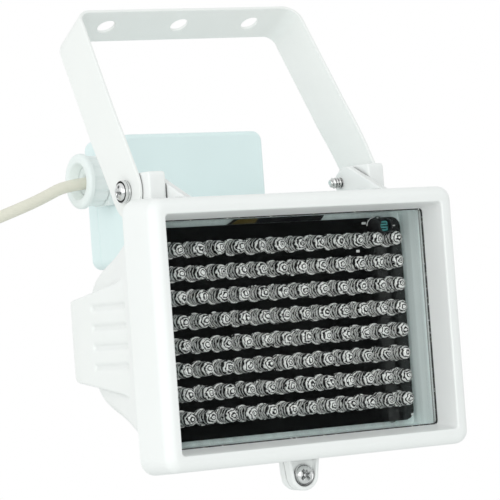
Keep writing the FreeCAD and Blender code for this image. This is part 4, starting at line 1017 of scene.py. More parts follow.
@dataclass
class FrontFrame:
    """The cast front frame: rounded rim, sloping bezel, hollow back, two hinge ears and a screw tab.

    Args:
        draft: The slope of the outer walls, in degrees.
        edge: The radius of the front's outer edge.
        rim: The width of the flat front.
        lip: The radius of the window's front edge.
        bezel: The slope of the bezel, in degrees.
        bezel_rings: How deep the bezel's rings lie.
        seat: How deep the face lies on which the glass sits.
        seat_edge: How far the seat's two edges are broken, in and back.
        back_edge: How far the back's outer and inner edge are broken.
        ear_foot: The ear's underside, back and up from its lowest point.
        ear_top: Its upper side, back and up from its highest point.
        tab_root: Half of the tab's width at the frame, and the height there.
        tab_back_edge: Its back edge, as insets and places from its back.
        tab_rim: Its front's rim and recess, as insets and places from its front.
    """

    half_width: float = 60.3
    half_height: float = 44.5
    depth: float = 17.8
    draft: float = 3.2
    corner: float = 4.6
    edge: float = 3.8
    wall: float = 2.2
    rim: float = 5.3
    lip: float = 0.7
    bezel: float = 9.4
    bezel_rings: Triple = (2.6, 5.0, 7.4)
    seat: float = 9.7
    seat_edge: Pair = (0.25, 0.3)
    back_edge: Pair = (0.4, 0.3)
    window_corner: float = 1.4
    pivot: Pair = PIVOT
    ear_outer: float = 40.8
    ear_thickness: float = 2.6
    ear_radius: float = 5.6
    ear_end: float = 4.2
    ear_edge: float = 0.7
    ear_foot: Outline = ((7.2, 0.0), (20.0, 0.0), (30.0, 1.0))
    ear_top: Outline = ((32.4, 0.0), (31.0, -0.35))
    tab_front: float = 13.8
    tab_back: float = 17.25
    tab_centre: float = -50.2
    tab_radius: float = 5.5
    tab_root: Pair = (6.5, -43.4)
    tab_back_edge: Outline = ((0.15, 0.0), (0.04, -0.04), (0.0, -0.15))
    tab_rim: Outline = ((0.0, 0.6), (0.18, 0.18), (0.6, 0.0), (0.9, 0.0), (1.2, 0.12), (1.35, 0.4),
                        (1.45, 1.3), (1.85, 1.6))

    def ring(self, grow: float, along: float, radius: float) -> Ring:
        """Gives the rim's outline, moved out by an amount, at a depth and with a corner radius."""
        outline = rounded(self.half_width + grow, self.half_height + grow, radius, steps=10)
        return stand(outline, along, Axis.Y)

    def casting(self) -> Form:
        """Draws the section of the frame right round its window.

        Returns:
            The casting without ears and tab.
        """
        slope = math.tan(math.radians(self.draft))
        lean = math.tan(math.radians(self.bezel))
        back = self.depth * slope
        centre = self.edge * slope - self.edge / math.cos(math.radians(self.draft))
        outer_edge, inner_edge = self.back_edge
        window, hollow = self.window_corner, self.corner - self.wall
        section = [(back - outer_edge, self.depth, self.corner),
                   (back, self.depth - outer_edge, self.corner + back)]
        section += [(grow, along, self.corner + grow)
                    for grow, along in arc(centre, self.edge, self.edge, -self.draft, -90.0, 10)]
        section += [(grow, along, window)
                    for grow, along in arc(self.lip - self.rim, self.lip, self.lip, 270.0, 190.0, 4)]
        section += [(-self.rim - along * lean, along, window) for along in self.bezel_rings]
        inward, backward = self.seat_edge
        seat = -self.rim - self.seat * lean
        section += [(seat, self.seat - backward, window), (seat + inward, self.seat, window),
                    (-self.wall, self.seat, hollow), (-self.wall, self.depth - inner_edge, hollow),
                    (inner_edge - self.wall, self.depth, hollow)]
        return Form().skin([self.ring(*spot) for spot in section], loop=True)

    def ear(self, side: int) -> Form:
        """Draws one hinge ear.

        Args:
            side: -1 for the left ear, 1 for the right one.

        Returns:
            The ear.
        """
        back, height = self.pivot
        low, high = height - self.ear_radius, height + self.ear_radius
        outline = [*((along, low + up) for along, up in self.ear_foot),
                   *arc(back, height, self.ear_end, -80.0, 62.0, 16),
                   *((along, high + up) for along, up in self.ear_top)]
        ends = sorted((side * self.ear_outer, side * (self.ear_outer - self.ear_thickness)))
        return Form().slab(outline, *ends, self.ear_edge, Axis.X)

    def tab(self) -> Form:
        """Draws the screw tab with the rimmed recess round its screw.

        Returns:
            The tab.
        """
        half, root = self.tab_root
        outline = [(half, root), (-half, root), *arc(0.0, self.tab_centre, self.tab_radius, 180.0, 360.0, 20)]
        steps = [(amount, self.tab_back + along) for amount, along in self.tab_back_edge]
        steps += [(amount, self.tab_front + along) for amount, along in self.tab_rim]
        return Form().skin([stand(inset(outline, amount), along, Axis.Y) for amount, along in steps])

    def build(self) -> None:
        """Builds the casting."""
        piece = self.casting().make("front_frame_casting")
        parts = [self.ear(-1).make("left_ear"), self.ear(1).make("right_ear"), self.tab().make("screw_tab")]
        settle(carve(piece, Cut.JOIN, *parts), WHITE_COAT, "front_frame")


@dataclass
class Glazing:
    """The toughened front glass in its clear silicone channel.

    Args:
        glass_half: Half of the pane's width and height.
        gasket_half: The same of the channel, outside.
        lip_half: The same of the opening inside its lips.
        glass_span: Where the pane starts and ends to the back.
        gasket_span: The same of the channel.
        lip_edge: How far the back lip's inner edge is broken.
        bead: The radius of the dark sealing bead, whose black stands in for the shade line at the window's
            edge.
        bead_spot: Its middle, out from the window and back from where it would touch the pane.
    """

    glass_half: Pair = (55.99, 40.19)
    gasket_half: Pair = (58.0, 42.2)
    lip_half: Pair = (54.2, 38.4)
    glass_span: Pair = (10.3, 13.3)
    gasket_span: Pair = (9.7, 13.9)
    corner: float = 1.4
    gasket_corner: float = 2.4
    lip_corner: float = 1.0
    lip_edge: float = 0.2
    edge: float = 0.4
    window_half: Pair = (53.4, 37.6)
    bead: float = 0.3
    bead_spot: Pair = (-0.08, -0.02)

    def channel(self) -> Form:
        """Draws the silicone channel that holds the pane's edge.

        Returns:
            The channel.
        """
        near, far = self.gasket_span
        front, back = self.glass_span
        lip, edge = self.lip_corner, self.lip_edge
        broken = (self.lip_half[0] + edge, self.lip_half[1] + edge)
        places = ((self.gasket_half, near, self.gasket_corner), (self.lip_half, near, lip),
                  (self.lip_half, front, lip), (self.glass_half, front, self.corner),
                  (self.glass_half, back, self.corner), (self.lip_half, back, lip),
                  (self.lip_half, far - edge, lip), (broken, far, lip + edge),
                  (self.gasket_half, far, self.gasket_corner))
        return Form().skin([stand(rounded(*half, radius), along, Axis.Y) for half, along, radius in places],
                           loop=True)

    def build(self) -> None:
        """Builds the pane with its ground edges, the channel round it, and the dark sealing bead at its front
        that stands in for the shade line there.
        """
        pane = Form().slab(rounded(*self.glass_half, self.corner), *self.glass_span, self.edge, Axis.Y, 3)
        settle(pane.make("front_glass_pane", 40.0), FRONT_GLASS, "front_glass")
        settle(self.channel().make("glass_channel"), CLEAR_SILICONE, "glass_gasket")
        # Painted shade: a dark bead stands where the glass meets the bezel, in place of the shade line there.
        width, height = self.window_half
        outward, backward = self.bead_spot
        section = arc(outward, self.glass_span[0] - self.bead + backward, self.bead, 0.0, 315.0, 7)
        bead = [stand(rounded(width + grow, height + grow, self.corner), along, Axis.Y)
                for grow, along in section]
        join_node(Form().skin(bead, loop=True).make("glass_bead_painted_shade_line"), SHADE_LINE_BEAD, "glass_gasket")


@dataclass
class ReflectorTray:
    """The bright folded tray that lines the mouth.

    Args:
        half: Half of its width and height, outside.
        sheet: The thickness of the sheet.
        floor_rim: The width of the floor that is left round its opening.
        bend: The outer radius of the bend.
        corners: The radii of its upright corners, outside and inside.
        painted_reflection_strips: The name, finish, two ends and front of each dark strip above the board;
            the strips stand in for the dark reflection on the tray's upper wall.
        strip_lean: How far its upper edge is moved at the right and at the left end.
        strip_gap: How far its upper and lower edge lie below the tray's wall.
    """

    half: Pair = (54.1, 38.3)
    sheet: float = 0.7
    front: float = 14.25
    back: float = 25.8
    floor_rim: float = 10.0
    bend: float = 1.2
    corners: Pair = (1.6, 1.0)
    # Painted reflection: black foam and amber tape stand in for the dark, brownish reflection on the tray's
    # upper wall.
    painted_reflection_strips: tuple[tuple[str, Finish, float, float, float], ...] = (
        ("tray_top_foam_painted_reflection", PAINTED_REFLECTION_FOAM, -18.0, 20.0, 24.2),
        ("tray_top_tape_painted_reflection", PAINTED_REFLECTION_TAPE, -16.6, -7.0, 24.1),
    )
    strip_lean: Pair = (1.5, 3.2)
    strip_gap: Pair = (0.1, 1.75)
    strip_edge: float = 0.1

    def ring(self, shrink: float, along: float, radius: float) -> Ring:
        """Gives the tray's outline, moved in by an amount, at a depth and with a corner radius."""
        return stand(rounded(self.half[0] - shrink, self.half[1] - shrink, radius), along, Axis.Y)

    def build(self) -> None:
        """Builds the sheet with its rolled bend, and the two dark strips above the board that stand in for
        the dark reflection on its upper wall.
        """
        outer, inner = self.corners
        bend_back, floor = self.back - self.bend, self.back - self.sheet
        rings = [self.ring(self.sheet, self.front, inner), self.ring(0.0, self.front, outer)]
        rings += [self.ring(shrink, along, outer)
                  for shrink, along in arc(self.bend, bend_back, self.bend, 180.0, 90.0, 5)]
        rings += [self.ring(self.floor_rim, self.back, outer), self.ring(self.floor_rim, floor, outer)]
        rings += [self.ring(shrink, along, inner)
                  for shrink, along in arc(self.bend, bend_back, self.bend - self.sheet, 90.0, 180.0, 5)]
        settle(Form().skin(rings, loop=True).make("tray_sheet"), TRAY_SHEET, "reflector_tray")
        top, low = (self.half[1] - self.sheet - gap for gap in self.strip_gap)
        right_lean, left_lean = self.strip_lean
        for name, finish, start, end, front in self.painted_reflection_strips:
            outline = [(start, low), (end, low), (end + right_lean, top), (start + left_lean, top)]
            strip = Form().slab(outline, front, floor, self.strip_edge, Axis.Y, 2)
            join_node(strip.make(name), finish, "reflector_tray")


@dataclass
class EmitterBoard:
    """The black board with its eight rows of clear emitters, and the light cell in its sleeve.

    Args:
        half: Half of the board's width and height.
        shift: How far the board stands to the right of the window's middle.
        dome_turns: Where its dome's rings lie, in degrees from the barrel.
        cup: The section of the cup inside it, as radii and places from the board.
        cup_shift: How far it stands to the left of the emitter's middle.
        anvil: The post under it: two ends across, half of its height, and its length.
        post: The post beside it, in the same numbers.
        post_foot: How far in front of the board the posts start.
        sleeve: The sleeve's outer and inner radius.
        leg: The radius of the cell's legs, and how far each stands from its middle.
        track_reach: The radius that the winding track fills.
        track_gap: How far apart its long bars lie.
        track_bend: Where its turns stand from the middle.
        track_half: Half of its width.
        ring_marks: Between which angles the printed ring round the cell is drawn.
        ring_radii: Its outer and inner radius.
        pads: The place, and half of the width and height, of each printed pad.
    """

    half: Pair = (50.8, 35.7)
    shift: float = 1.0
    front: float = 22.3
    back: float = 23.9
    corner: float = 3.6
    edge: float = 0.15
    columns: int = 12
    rows: int = 8
    pitch: Pair = EMITTER_PITCH
    lens_radius: float = 2.5
    flange_radius: float = 2.9
    flange_height: float = 1.0
    lens_length: float = 8.6
    dome_turns: tuple[int, ...] = (12, 25, 38, 50, 62, 74, 84, 90)
    segments: int = 24
    cup: Outline = ((0.0, -2.7), (0.75, -2.7), (1.05, -3.3), (0.92, -3.3), (0.5, -2.9), (0.0, -2.9))
    cup_shift: float = 0.25
    anvil: tuple[float, ...] = (-1.3, 0.35, 0.55, 2.75)
    post: tuple[float, ...] = (0.75, 1.35, 0.35, 3.2)
    post_foot: float = 0.1
    cell: Pair = (41.0, 32.4)
    sleeve: Pair = (2.9, 2.3)
    sleeve_front: float = 15.3
    cell_radius: float = 2.2
    cell_face: float = 16.9
    cell_depth: float = 2.0
    leg: Pair = (0.36, 1.1)
    track_reach: float = 1.95
    track_gap: float = 0.95
    track_bend: float = 1.35
    track_half: float = 0.24
    ring_marks: Outline = ((20.0, 70.0), (95.0, 172.0), (215.0, 250.0), (290.0, 325.0))
    ring_radii: Pair = (3.6, 3.2)
    dots: Outline = ((-50.0, 33.0), (51.0, -34.0))
    pads: tuple[tuple[Pair, Pair], ...] = (
        ((36.4, 33.9), (0.85, 0.4)), ((48.8, 32.6), (0.8, 0.2)), ((33.1, 24.3), (0.7, 0.42)),
    )
    ink: float = 0.03

    def lens(self, across: float, up: float) -> Form:
        """Draws one moulded emitter: flange, barrel and dome.

        Args:
            across: Its place across.
            up: Its height.

        Returns:
            The emitter.
        """
        radius, flange, foot = self.lens_radius, self.flange_radius, -self.flange_height
        top = radius - self.lens_length
        turns = [math.radians(turn) for turn in self.dome_turns]
        profile = [(0.0, 0.0), (flange, 0.0), (flange, foot + 0.15), (flange - 0.15, foot),
                   (radius + 0.05, foot), (radius, foot - 0.1), (radius, top),
                   *((radius * math.cos(turn), top - radius * math.sin(turn)) for turn in turns)]
        return Form().lathe(profile, (across, self.front, up), Axis.Y, self.segments)

    def frame_inside(self, across: float, up: float) -> Form:
        """Draws the lead frame inside one emitter: the cup on its anvil, and the post beside it.

        Args:
            across: The emitter's place across.
            up: Its height.

        Returns:
            The lead frame.
        """
        form = Form().lathe(self.cup, (across - self.cup_shift, self.front, up), Axis.Y, 14)
        for left, right, half, length in (self.anvil, self.post):
            corners = ((left, -half), (right, -half), (right, half), (left, half))
            outline = [(across + u, up + v) for u, v in corners]
            form.skin([stand(outline, self.front - along, Axis.Y) for along in (length, self.post_foot)])
        return form

    def row(self, index: int) -> None:
        """Builds one row of emitters.

        Args:
            index: The row's number, from 0 at the top.
        """
        up = self.pitch[1] * ((self.rows - 1) / 2 - index)
        lenses, frames = Form(), Form()
        for column in range(self.columns):
            across = self.shift + self.pitch[0] * (column - (self.columns - 1) / 2)
            lenses.add(self.lens(across, up))
            frames.add(self.frame_inside(across, up))
        name = f"emitter_row_{index + 1}"
        settle(lenses.make(f"{name}_lenses", 50.0), LENS_EPOXY, f"led_row_{index + 1}")
        join_node(frames.make(f"{name}_frames"), LEAD_FRAME, f"led_row_{index + 1}")

    def light_cell(self) -> None:
        """Builds the cell on its legs, and the sleeve round it."""
        outer, inner = self.sleeve
        deep = self.front - self.sleeve_front
        across, up = self.cell
        spot = (across, self.front, up)
        profile = [(inner, 0.0), (outer, 0.0), (outer, 0.25 - deep), (outer - 0.25, -deep),
                   (inner + 0.1, -deep), (inner, 0.1 - deep), (inner, 0.0)]
        sleeve = Form().lathe(profile, spot, Axis.Y)
        settle(sleeve.make("light_cell_sleeve"), BLACK_SLEEVE, "photocell_sleeve")
        radius, face = self.cell_radius, self.cell_face - self.front
        back = face + self.cell_depth
        disc = [(0.0, back), (radius, back), (radius, face + 0.15), (radius - 0.15, face), (0.0, face)]
        body = Form().lathe(disc, spot, Axis.Y)
        leg, apart = self.leg
        for side in (-1, 1):
            body.lathe([(leg, 0.0), (leg, face + 1.0)], (across + side * apart, self.front, up), Axis.Y, 10)
        settle(body.make("light_cell_body"), CELL_FACE, "photocell")

    def cell_track(self) -> None:
        """Builds the winding track on the cell's face."""
        gap, reach, half = self.track_gap, self.track_reach, self.track_half
        bars = [(0.0, line * gap, math.sqrt(reach ** 2 - (line * gap) ** 2) - 0.2, half)
                for line in (-1.5, -0.5, 0.5, 1.5)]
        bars += [(side * self.track_bend, line * gap, half, 0.7) for side, line in ((1, -1), (-1, 0), (1, 1))]
        track = Form()
        for across, up, half_width, half_height in bars:
            outline = rounded(half_width, half_height, 0.2, self.cell[0] + across, self.cell[1] + up, 3)
            track.slab(outline, self.cell_face - 0.06, self.cell_face + 0.04, 0.03, Axis.Y, 1)
        join_node(track.make("light_cell_track"), CELL_TRACK, "photocell")

    def marks(self) -> None:
        """Prints the plain outlines and pads beside the light cell."""
        ink, face = Form(), self.front - self.ink
        for across, up in self.dots:
            ink.slab(rounded(0.5, 0.5, 0.45, across, up), face, self.front, 0.01, Axis.Y, 1)
        outer, inner = self.ring_radii
        for start, end in self.ring_marks:
            band = [*arc(*self.cell, outer, start, end, 8), *arc(*self.cell, inner, end, start, 8)]
            ink.skin([stand(band, along, Axis.Y) for along in (self.front, face)])
        for spot, half in self.pads:
            ink.slab(rounded(*half, 0.15, *spot, 2), face, self.front, 0.01, Axis.Y, 1)
        join_node(ink.make("board_marks"), WHITE_INK, "led_board")

    def build(self) -> None:
        """Builds the board, its rows, the light cell and the printed marks."""
        outline = rounded(*self.half, self.corner, self.shift)
        board = Form().slab(outline, self.front, self.back, self.edge, Axis.Y, 2)
        settle(board.make("board_laminate"), BLACK_MASK, "led_board")
        for index in range(self.rows):
            self.row(index)
        self.light_cell()
        self.cell_track()
        self.marks()


@dataclass
class Housing:
    """The cast housing: the node's own form with the soft edges that a casting has.

    Args:
        weld: How near points are welded.
        voxel: The size of the cells that the form is drawn in.
        passes: How often its points move towards their neighbours.
        most_faces: The most triangles that are left.
    """

    weld: float = 0.002
    voxel: float = 0.55
    passes: int = 4
    most_faces: int = 185000

    def build(self) -> None:
        """Copies the node's mesh, rounds its edges as casting and powder do, and thins its faces."""
        mesh = frame["nodes"]["housing"].data.copy()
        mesh.name = "housing_casting"
        piece = put_up("housing_casting", mesh)
        weld = piece.modifiers.new("weld", "WELD")
        weld.merge_threshold = self.weld * MM
        grid = piece.modifiers.new("grid", "REMESH")
        grid.mode = "VOXEL"
        grid.voxel_size = self.voxel * MM
        calm = piece.modifiers.new("calm", "SMOOTH")
        calm.factor = 0.5
        calm.iterations = self.passes
        bake(piece)
        thin = piece.modifiers.new("thin", "DECIMATE")
        thin.ratio = min(1.0, self.most_faces / (2 * len(piece.data.polygons)))
        bake(piece)
        piece.data.shade_smooth()
        # Its coat paints deep shade into the grooves and where the parts meet.
        settle(piece, DEEP_SHADE_CAST_COAT, "housing")


@dataclass
class TerminalBox:
    """The plastic box behind the housing, and its screwed cover.

    Args:
        half: Half of its width and height.
        span: Where the box starts and ends to the back.
        edge: The radius of the closed side's edge.
        edge_turns: Where its rings lie, in degrees.
        rim_edge: How far the open rim's outer edge is broken.
        fillet: How far the hollow's inner edge is filled.
        well_inset: How far the cover screws stand in from both sides.
        well_edge: How far a well widens at its mouth.
    """

    half: Pair = (29.4, 23.35)
    middle: float = 48.35
    span: Pair = (71.7, 92.8)
    cover_span: Pair = (93.0, 100.5)
    wall: float = 2.0
    corner: float = 3.6
    edge: float = 1.6
    edge_turns: tuple[int, ...] = (90, 72, 54, 36, 18, 0)
    rim_edge: float = 0.2
    fillet: float = 0.5
    well_inset: float = 3.9
    well_radius: float = 2.78
    well_depth: float = 2.0
    well_edge: float = 0.35

    def screw_spots(self, along: float) -> list[Triple]:
        """Gives the places of the four cover screws at a depth."""
        across, up = self.half[0] - self.well_inset, self.half[1] - self.well_inset
        return [(side * across, along, self.middle + end * up) for side, end in CORNERS]

    def ring(self, shrink: float, along: float, radius: float) -> Ring:
        """Gives the box's outline, moved in by an amount, at a depth and with a corner radius."""
        outline = rounded(self.half[0] - shrink, self.half[1] - shrink, radius, 0.0, self.middle)
        return stand(outline, along, Axis.Y)

    def shell(self, closed: float, opened: float) -> Form:
        """Draws a moulded shell: rounded where it is closed, thin walled where it is open.

        Args:
            closed: The place of its closed side.
            opened: The place of its open side.

        Returns:
            The shell.
        """
        way = 1.0 if opened > closed else -1.0
        wall, corner, rim, fillet = self.wall, self.corner, self.rim_edge, self.fillet
        turns = [math.radians(turn) for turn in self.edge_turns]
        round_edge = [(self.edge * (1 - math.cos(turn)), self.edge * math.sin(turn)) for turn in turns]
        section = [(shrink, closed + way * (self.edge - drop), corner - shrink * 0.5)
                   for shrink, drop in round_edge]
        section += [(0.0, opened - way * rim, corner), (rim, opened, corner - rim),
                    (wall, opened, corner - wall), (wall, closed + way * (wall + fillet), corner - wall),
                    (wall + fillet, closed + way * wall, 1.0)]
        return Form().skin([self.ring(*spot) for spot in section])

    def wells(self) -> bpy.types.Object:
        """Makes the four stepped wells of the cover screws.

        Returns:
            The wells, as one tool.
        """
        radius, mouth = self.well_radius, self.well_radius + self.well_edge
        profile = [(0.0, -self.well_depth), (radius, -self.well_depth), (radius, -0.3), (mouth, 0.05),
                   (mouth, 1.0), (0.0, 1.0)]
        tool = Form()
        for spot in self.screw_spots(self.cover_span[1]):
            tool.lathe(profile, spot, Axis.Y, 32)
        return tool.make("cover_wells")

    def build(self) -> None:
        """Builds the box and its cover."""
        settle(self.shell(*self.span).make("terminal_box_shell"), BOX_PLASTIC, "terminal_box")
        cover = self.shell(self.cover_span[1], self.cover_span[0]).make("terminal_box_cover")
        settle(carve(cover, Cut.AWAY, self.wells()), BOX_PLASTIC, "box_cover")


@dataclass
class CableGland:
    """The gland on the left of the box: hexagonal body, fluted clamping nut and rubber seal.

    Args:
        flange: Where the hexagon meets the box, across.
        lip: The length of the nut's thick front ring.
        waist: How much thinner the nut's skirt is than that ring.
        stem: The length of the thread under the nut.
        tail: The length, the bore and the radius of the thread inside the box.
        seat_gap: How far the nut stays off the hexagon, and the rubber off the body.
    """

    back: float = 82.2
    height: float = 56.3
    flange: float = -30.2
    hex_radius: float = 10.4
    hex_length: float = 3.6
    nut_radius: float = 9.8
    nut_length: float = 8.6
    lip: float = 2.4
    waist: float = 0.9
    mouth_radius: float = 6.5
    throat_radius: float = 5.0
    throat_depth: float = 3.2
    flutes: int = 12
    flute_depth: float = 0.42
    cable_radius: float = 2.15
    stem: float = 4.6
    tail: Triple = (8.0, 4.2, 6.2)
    seat_gap: float = 0.08

    def round_ring(self, along: float, reach: Callable[[float], float], count: int = 144) -> Ring:
        """Gives a ring about the gland's axis.

        Args:
            along: Its place to the left of the flange.
            reach: The radius at an angle in radians.
            count: The points in it.

        Returns:
            The ring.
        """
        outline = [(self.back + reach(turn) * math.cos(turn), self.height + reach(turn) * math.sin(turn))
                   for turn in (math.tau * step / count for step in range(count))]
        return stand(outline, self.flange - along, Axis.X)

    def turned_rings(self, section: Outline, start: float = 0.0, count: int = 144) -> list[Ring]:
        """Gives round rings about the gland's axis, from places past a start and radii."""
        return [self.round_ring(start + along, lambda turn, radius=radius: radius, count)
                for along, radius in section]

    def hexagon(self, limit: float) -> Callable[[float], float]:
        """Gives the radius of the hexagon at an angle, turned down to a limit."""
        flat = self.hex_radius * math.cos(math.pi / 6)
        return lambda turn: min(limit, flat / math.cos((turn + math.pi / 3) % (math.pi / 3) - math.pi / 6))

    def fluted(self, radius: float, share: float) -> Callable[[float], float]:
        """Gives the radius of the nut at an angle, with its flutes at a share of their depth."""
        return lambda turn: radius - share * self.flute_depth * max(0.0, math.cos(turn * self.flutes)) ** 3

    def body(self) -> Form:
        """Draws the hexagonal flange, the sleeve that the nut screws on and the thread inside the box.

        Returns:
            The body.
        """
        full, low = self.hexagon(self.hex_radius - 0.1), self.hexagon(self.hex_radius - 1.0)
        sleeve, throat = self.nut_radius - self.waist - 1.5, self.throat_radius + self.seat_gap
        end, middle, stem = self.hex_length, self.hex_length / 2, self.hex_length + self.stem
        length, bore, outer = self.tail
        flange = ((0.0, low), (0.45, full), (end - 0.6, full), (end, low))
        rings = [self.round_ring(along, reach) for along, reach in flange]
        rings += self.turned_rings([(end, sleeve), (stem, sleeve), (stem, throat), (middle, throat),
                                    (middle, bore), (-length, bore), (-length, outer), (0.0, outer)])
        return Form().skin(rings, loop=True)

    def nut(self) -> Form:
        """Draws the clamping nut: fluted skirt, thick front ring and funnel mouth.

        Returns:
            The nut.
        """
        start = self.hex_length + self.seat_gap
        waist, skirt = self.nut_radius - self.waist, self.nut_length - self.lip
        outer, end, mouth = self.nut_radius, self.nut_length, self.mouth_radius
        inner, throat = waist - 1.4, end - self.throat_depth
        flutes = ((0.0, waist - 0.4, 0.6), (0.35, waist, 1.0), (skirt - 0.7, waist, 1.0),
                  (skirt - 0.2, waist, 0.3))
        turned = [(skirt, outer - 0.35), (skirt + 0.35, outer), (end - 1.1, outer), (end - 0.5, outer - 0.2),
                  (end - 0.1, outer - 0.7), (end, outer - 1.3), (end, mouth + 0.35),
                  (end - 0.35, mouth - 0.1), (throat, self.throat_radius + 0.05), (throat, inner),
                  (0.0, inner)]
        rings = [self.round_ring(start + along, self.fluted(radius, share))
                 for along, radius, share in flutes]
        return Form().skin(rings + self.turned_rings(turned, start), loop=True)

    def seal(self) -> Form:
        """Draws the rubber sleeve, domed where the nut presses it on the cable.

        Returns:
            The rubber.
        """
        back, front = self.hex_length / 2, self.hex_length + self.nut_length - self.throat_depth
        bore, outer = self.cable_radius, self.throat_radius - 0.02
        rows = [(back, bore), (back, outer), (front + 0.02, outer), (front, outer - 0.8),
                (front - 0.2, bore + 0.9), (front - 0.5, bore + 0.3), (front - 0.9, bore)]
        return Form().skin(self.turned_rings(rows, count=48), loop=True)

    def build(self) -> None:
        """Builds the three visible pieces of the gland."""
        settle(self.body().make("gland_hexagon"), GLAND_PLASTIC, "gland_body")
        settle(self.nut().make("gland_clamping_nut", 38.0), GLAND_PLASTIC, "gland_nut")
        settle(self.seal().make("gland_rubber"), PALE_RUBBER, "gland_seal")


@dataclass
class Bracket:
    """The hanging bracket: one steel strip bent to a U, with round feet and three holes.

    Args:
        arm_outer: How far out the arms stand at their feet.
        top_outer: How far out they stand at the crossbar.
        foot: The height of the slight bend above the feet, from the pivot.
        length: The height of the crossbar's outer face, from the pivot.
        bend: The outer radius of the two upper bends.
        lean: How far the bracket leans back, in degrees.
        askew: How far it is turned about Y and Z above its feet, in degrees.
        askew_span: Where that turn starts, and over what height it grows.
        foot_rings: Where the strip's rings lie below the slight bend.
        knee: The rings about it, as slope that lies behind and height above.
        least_half: Half of the strip's width at the feet's very ends.
    """

    width: float = 19.0
    bridge_width: float = 16.8
    thickness: float = 1.2
    arm_outer: float = 48.8
    top_outer: float = 46.6
    foot: float = 22.0
    length: float = 71.8
    foot_radius: float = 9.4
    bend: float = 6.0
    lean: float = 30.1
    askew: Pair = (-1.3, 1.7)
    askew_span: Pair = (8.0, 22.0)
    pivot: Pair = PIVOT
    hole_radius: float = 3.3
    hole_spacing: float = 30.3
    hole_edge: float = 0.2
    edge: float = 0.35
    foot_rings: tuple[float, ...] = (-9.4, -9.3, -9.0, -8.4, -7.4, -6.0, -4.0, -2.0, 0.0, 10.0, 13.0,
                                     16.0, 18.0)
    knee: Outline = ((0.0, -2.0), (0.6, 0.8), (4.0, 4.0), (8.0, 8.0), (12.0, 12.0))
    least_half: float = 0.35

    def half_line(self) -> Outline:
        """Gives the middle line of the strip from the right foot to the middle of the crossbar.

        Returns:
            The line's points, across and up.
        """
        inset_by = self.thickness / 2
        low, high, top = self.arm_outer - inset_by, self.top_outer - inset_by, self.length - inset_by
        lean = (low - high) / (self.length - self.foot)
        radius = self.bend - inset_by
        arm = [(low, height) for height in self.foot_rings]
        arm += [(low - lean * behind, self.foot + above) for behind, above in self.knee]
        return [*arm, *arc(high - radius, top - radius, radius, 0.0, 90.0, 10), (18.0, top), (0.0, top)]

    def half_width_at(self, height: float) -> float:
        """Gives half of the strip's width, narrower round the feet and across the bridge.

        Args:
            height: The height above the pivot.

        Returns:
            Half of the width.
        """
        if height >= 0.0:
            share = min(max((height - self.length + self.bend) / self.bend, 0.0), 1.0)
            return (self.width + (self.bridge_width - self.width) * share) / 2
        down = min(-height, self.foot_radius)
        return max(self.least_half, math.sqrt(self.foot_radius ** 2 - down ** 2))

    def hang(self, height: float) -> Matrix:
        """Gives the place of the strip: leant back, and slightly askew above the feet.

        Args:
            height: The height above the pivot.

        Returns:
            The change from the upright bracket.
        """
        start, rise = self.askew_span
        share = min(max((height - start) / rise, 0.0), 1.0)
        share *= share * (3.0 - 2.0 * share)
        roll, yaw = (math.radians(angle) * share for angle in self.askew)
        askew = Matrix.Rotation(roll, 4, "Y") @ Matrix.Rotation(yaw, 4, "Z")
        leant = Matrix.Rotation(-math.radians(self.lean), 4, "X")
        return Matrix.Translation((0.0, *self.pivot)) @ askew @ leant

    def strip(self) -> Form:
        """Draws the strip by moving its section along the middle line, hung on its feet.

        Returns:
            The strip.
        """
        right = self.half_line()
        line = [*right, *((-across, height) for across, height in reversed(right[:-1]))]
        rings = []
        for index, (across, height) in enumerate(line):
            before, after = line[max(index - 1, 0)], line[min(index + 1, len(line) - 1)]
            way = Vector((after[0] - before[0], after[1] - before[1])).normalized()
            half = self.half_width_at(height)
            rings.append([self.hang(height) @ Vector((across - way.y * u, v, height + way.x * u))
                          for u, v in rounded(self.thickness / 2, half, min(self.edge, half * 0.8), steps=3)])
        return Form().skin(rings)

    def build(self) -> None:
        """Builds the strip and drills it, with the holes' edges broken."""
        crease, past = 38.0, 0.001
        radius, edge, inner_face = self.hole_radius, self.hole_edge, -self.thickness
        wide = radius + edge
        profile = [(0.0, -3.0), (wide, -3.0), (wide, inner_face - past), (radius, inner_face + edge),
                   (radius, -edge), (wide, past), (wide, 2.0), (0.0, 2.0)]
        piece = self.strip().make("bracket_strip", crease)
        holes = Form()
        for index in (-1, 0, 1):
            holes.lathe(profile, (index * self.hole_spacing, 0.0, self.length), Axis.Z, 40)
        carve(piece, Cut.AWAY, holes.moved(self.hang(self.length)).make("bracket_holes"), crease=crease)
        settle(piece, STRIP_COAT, "bracket")


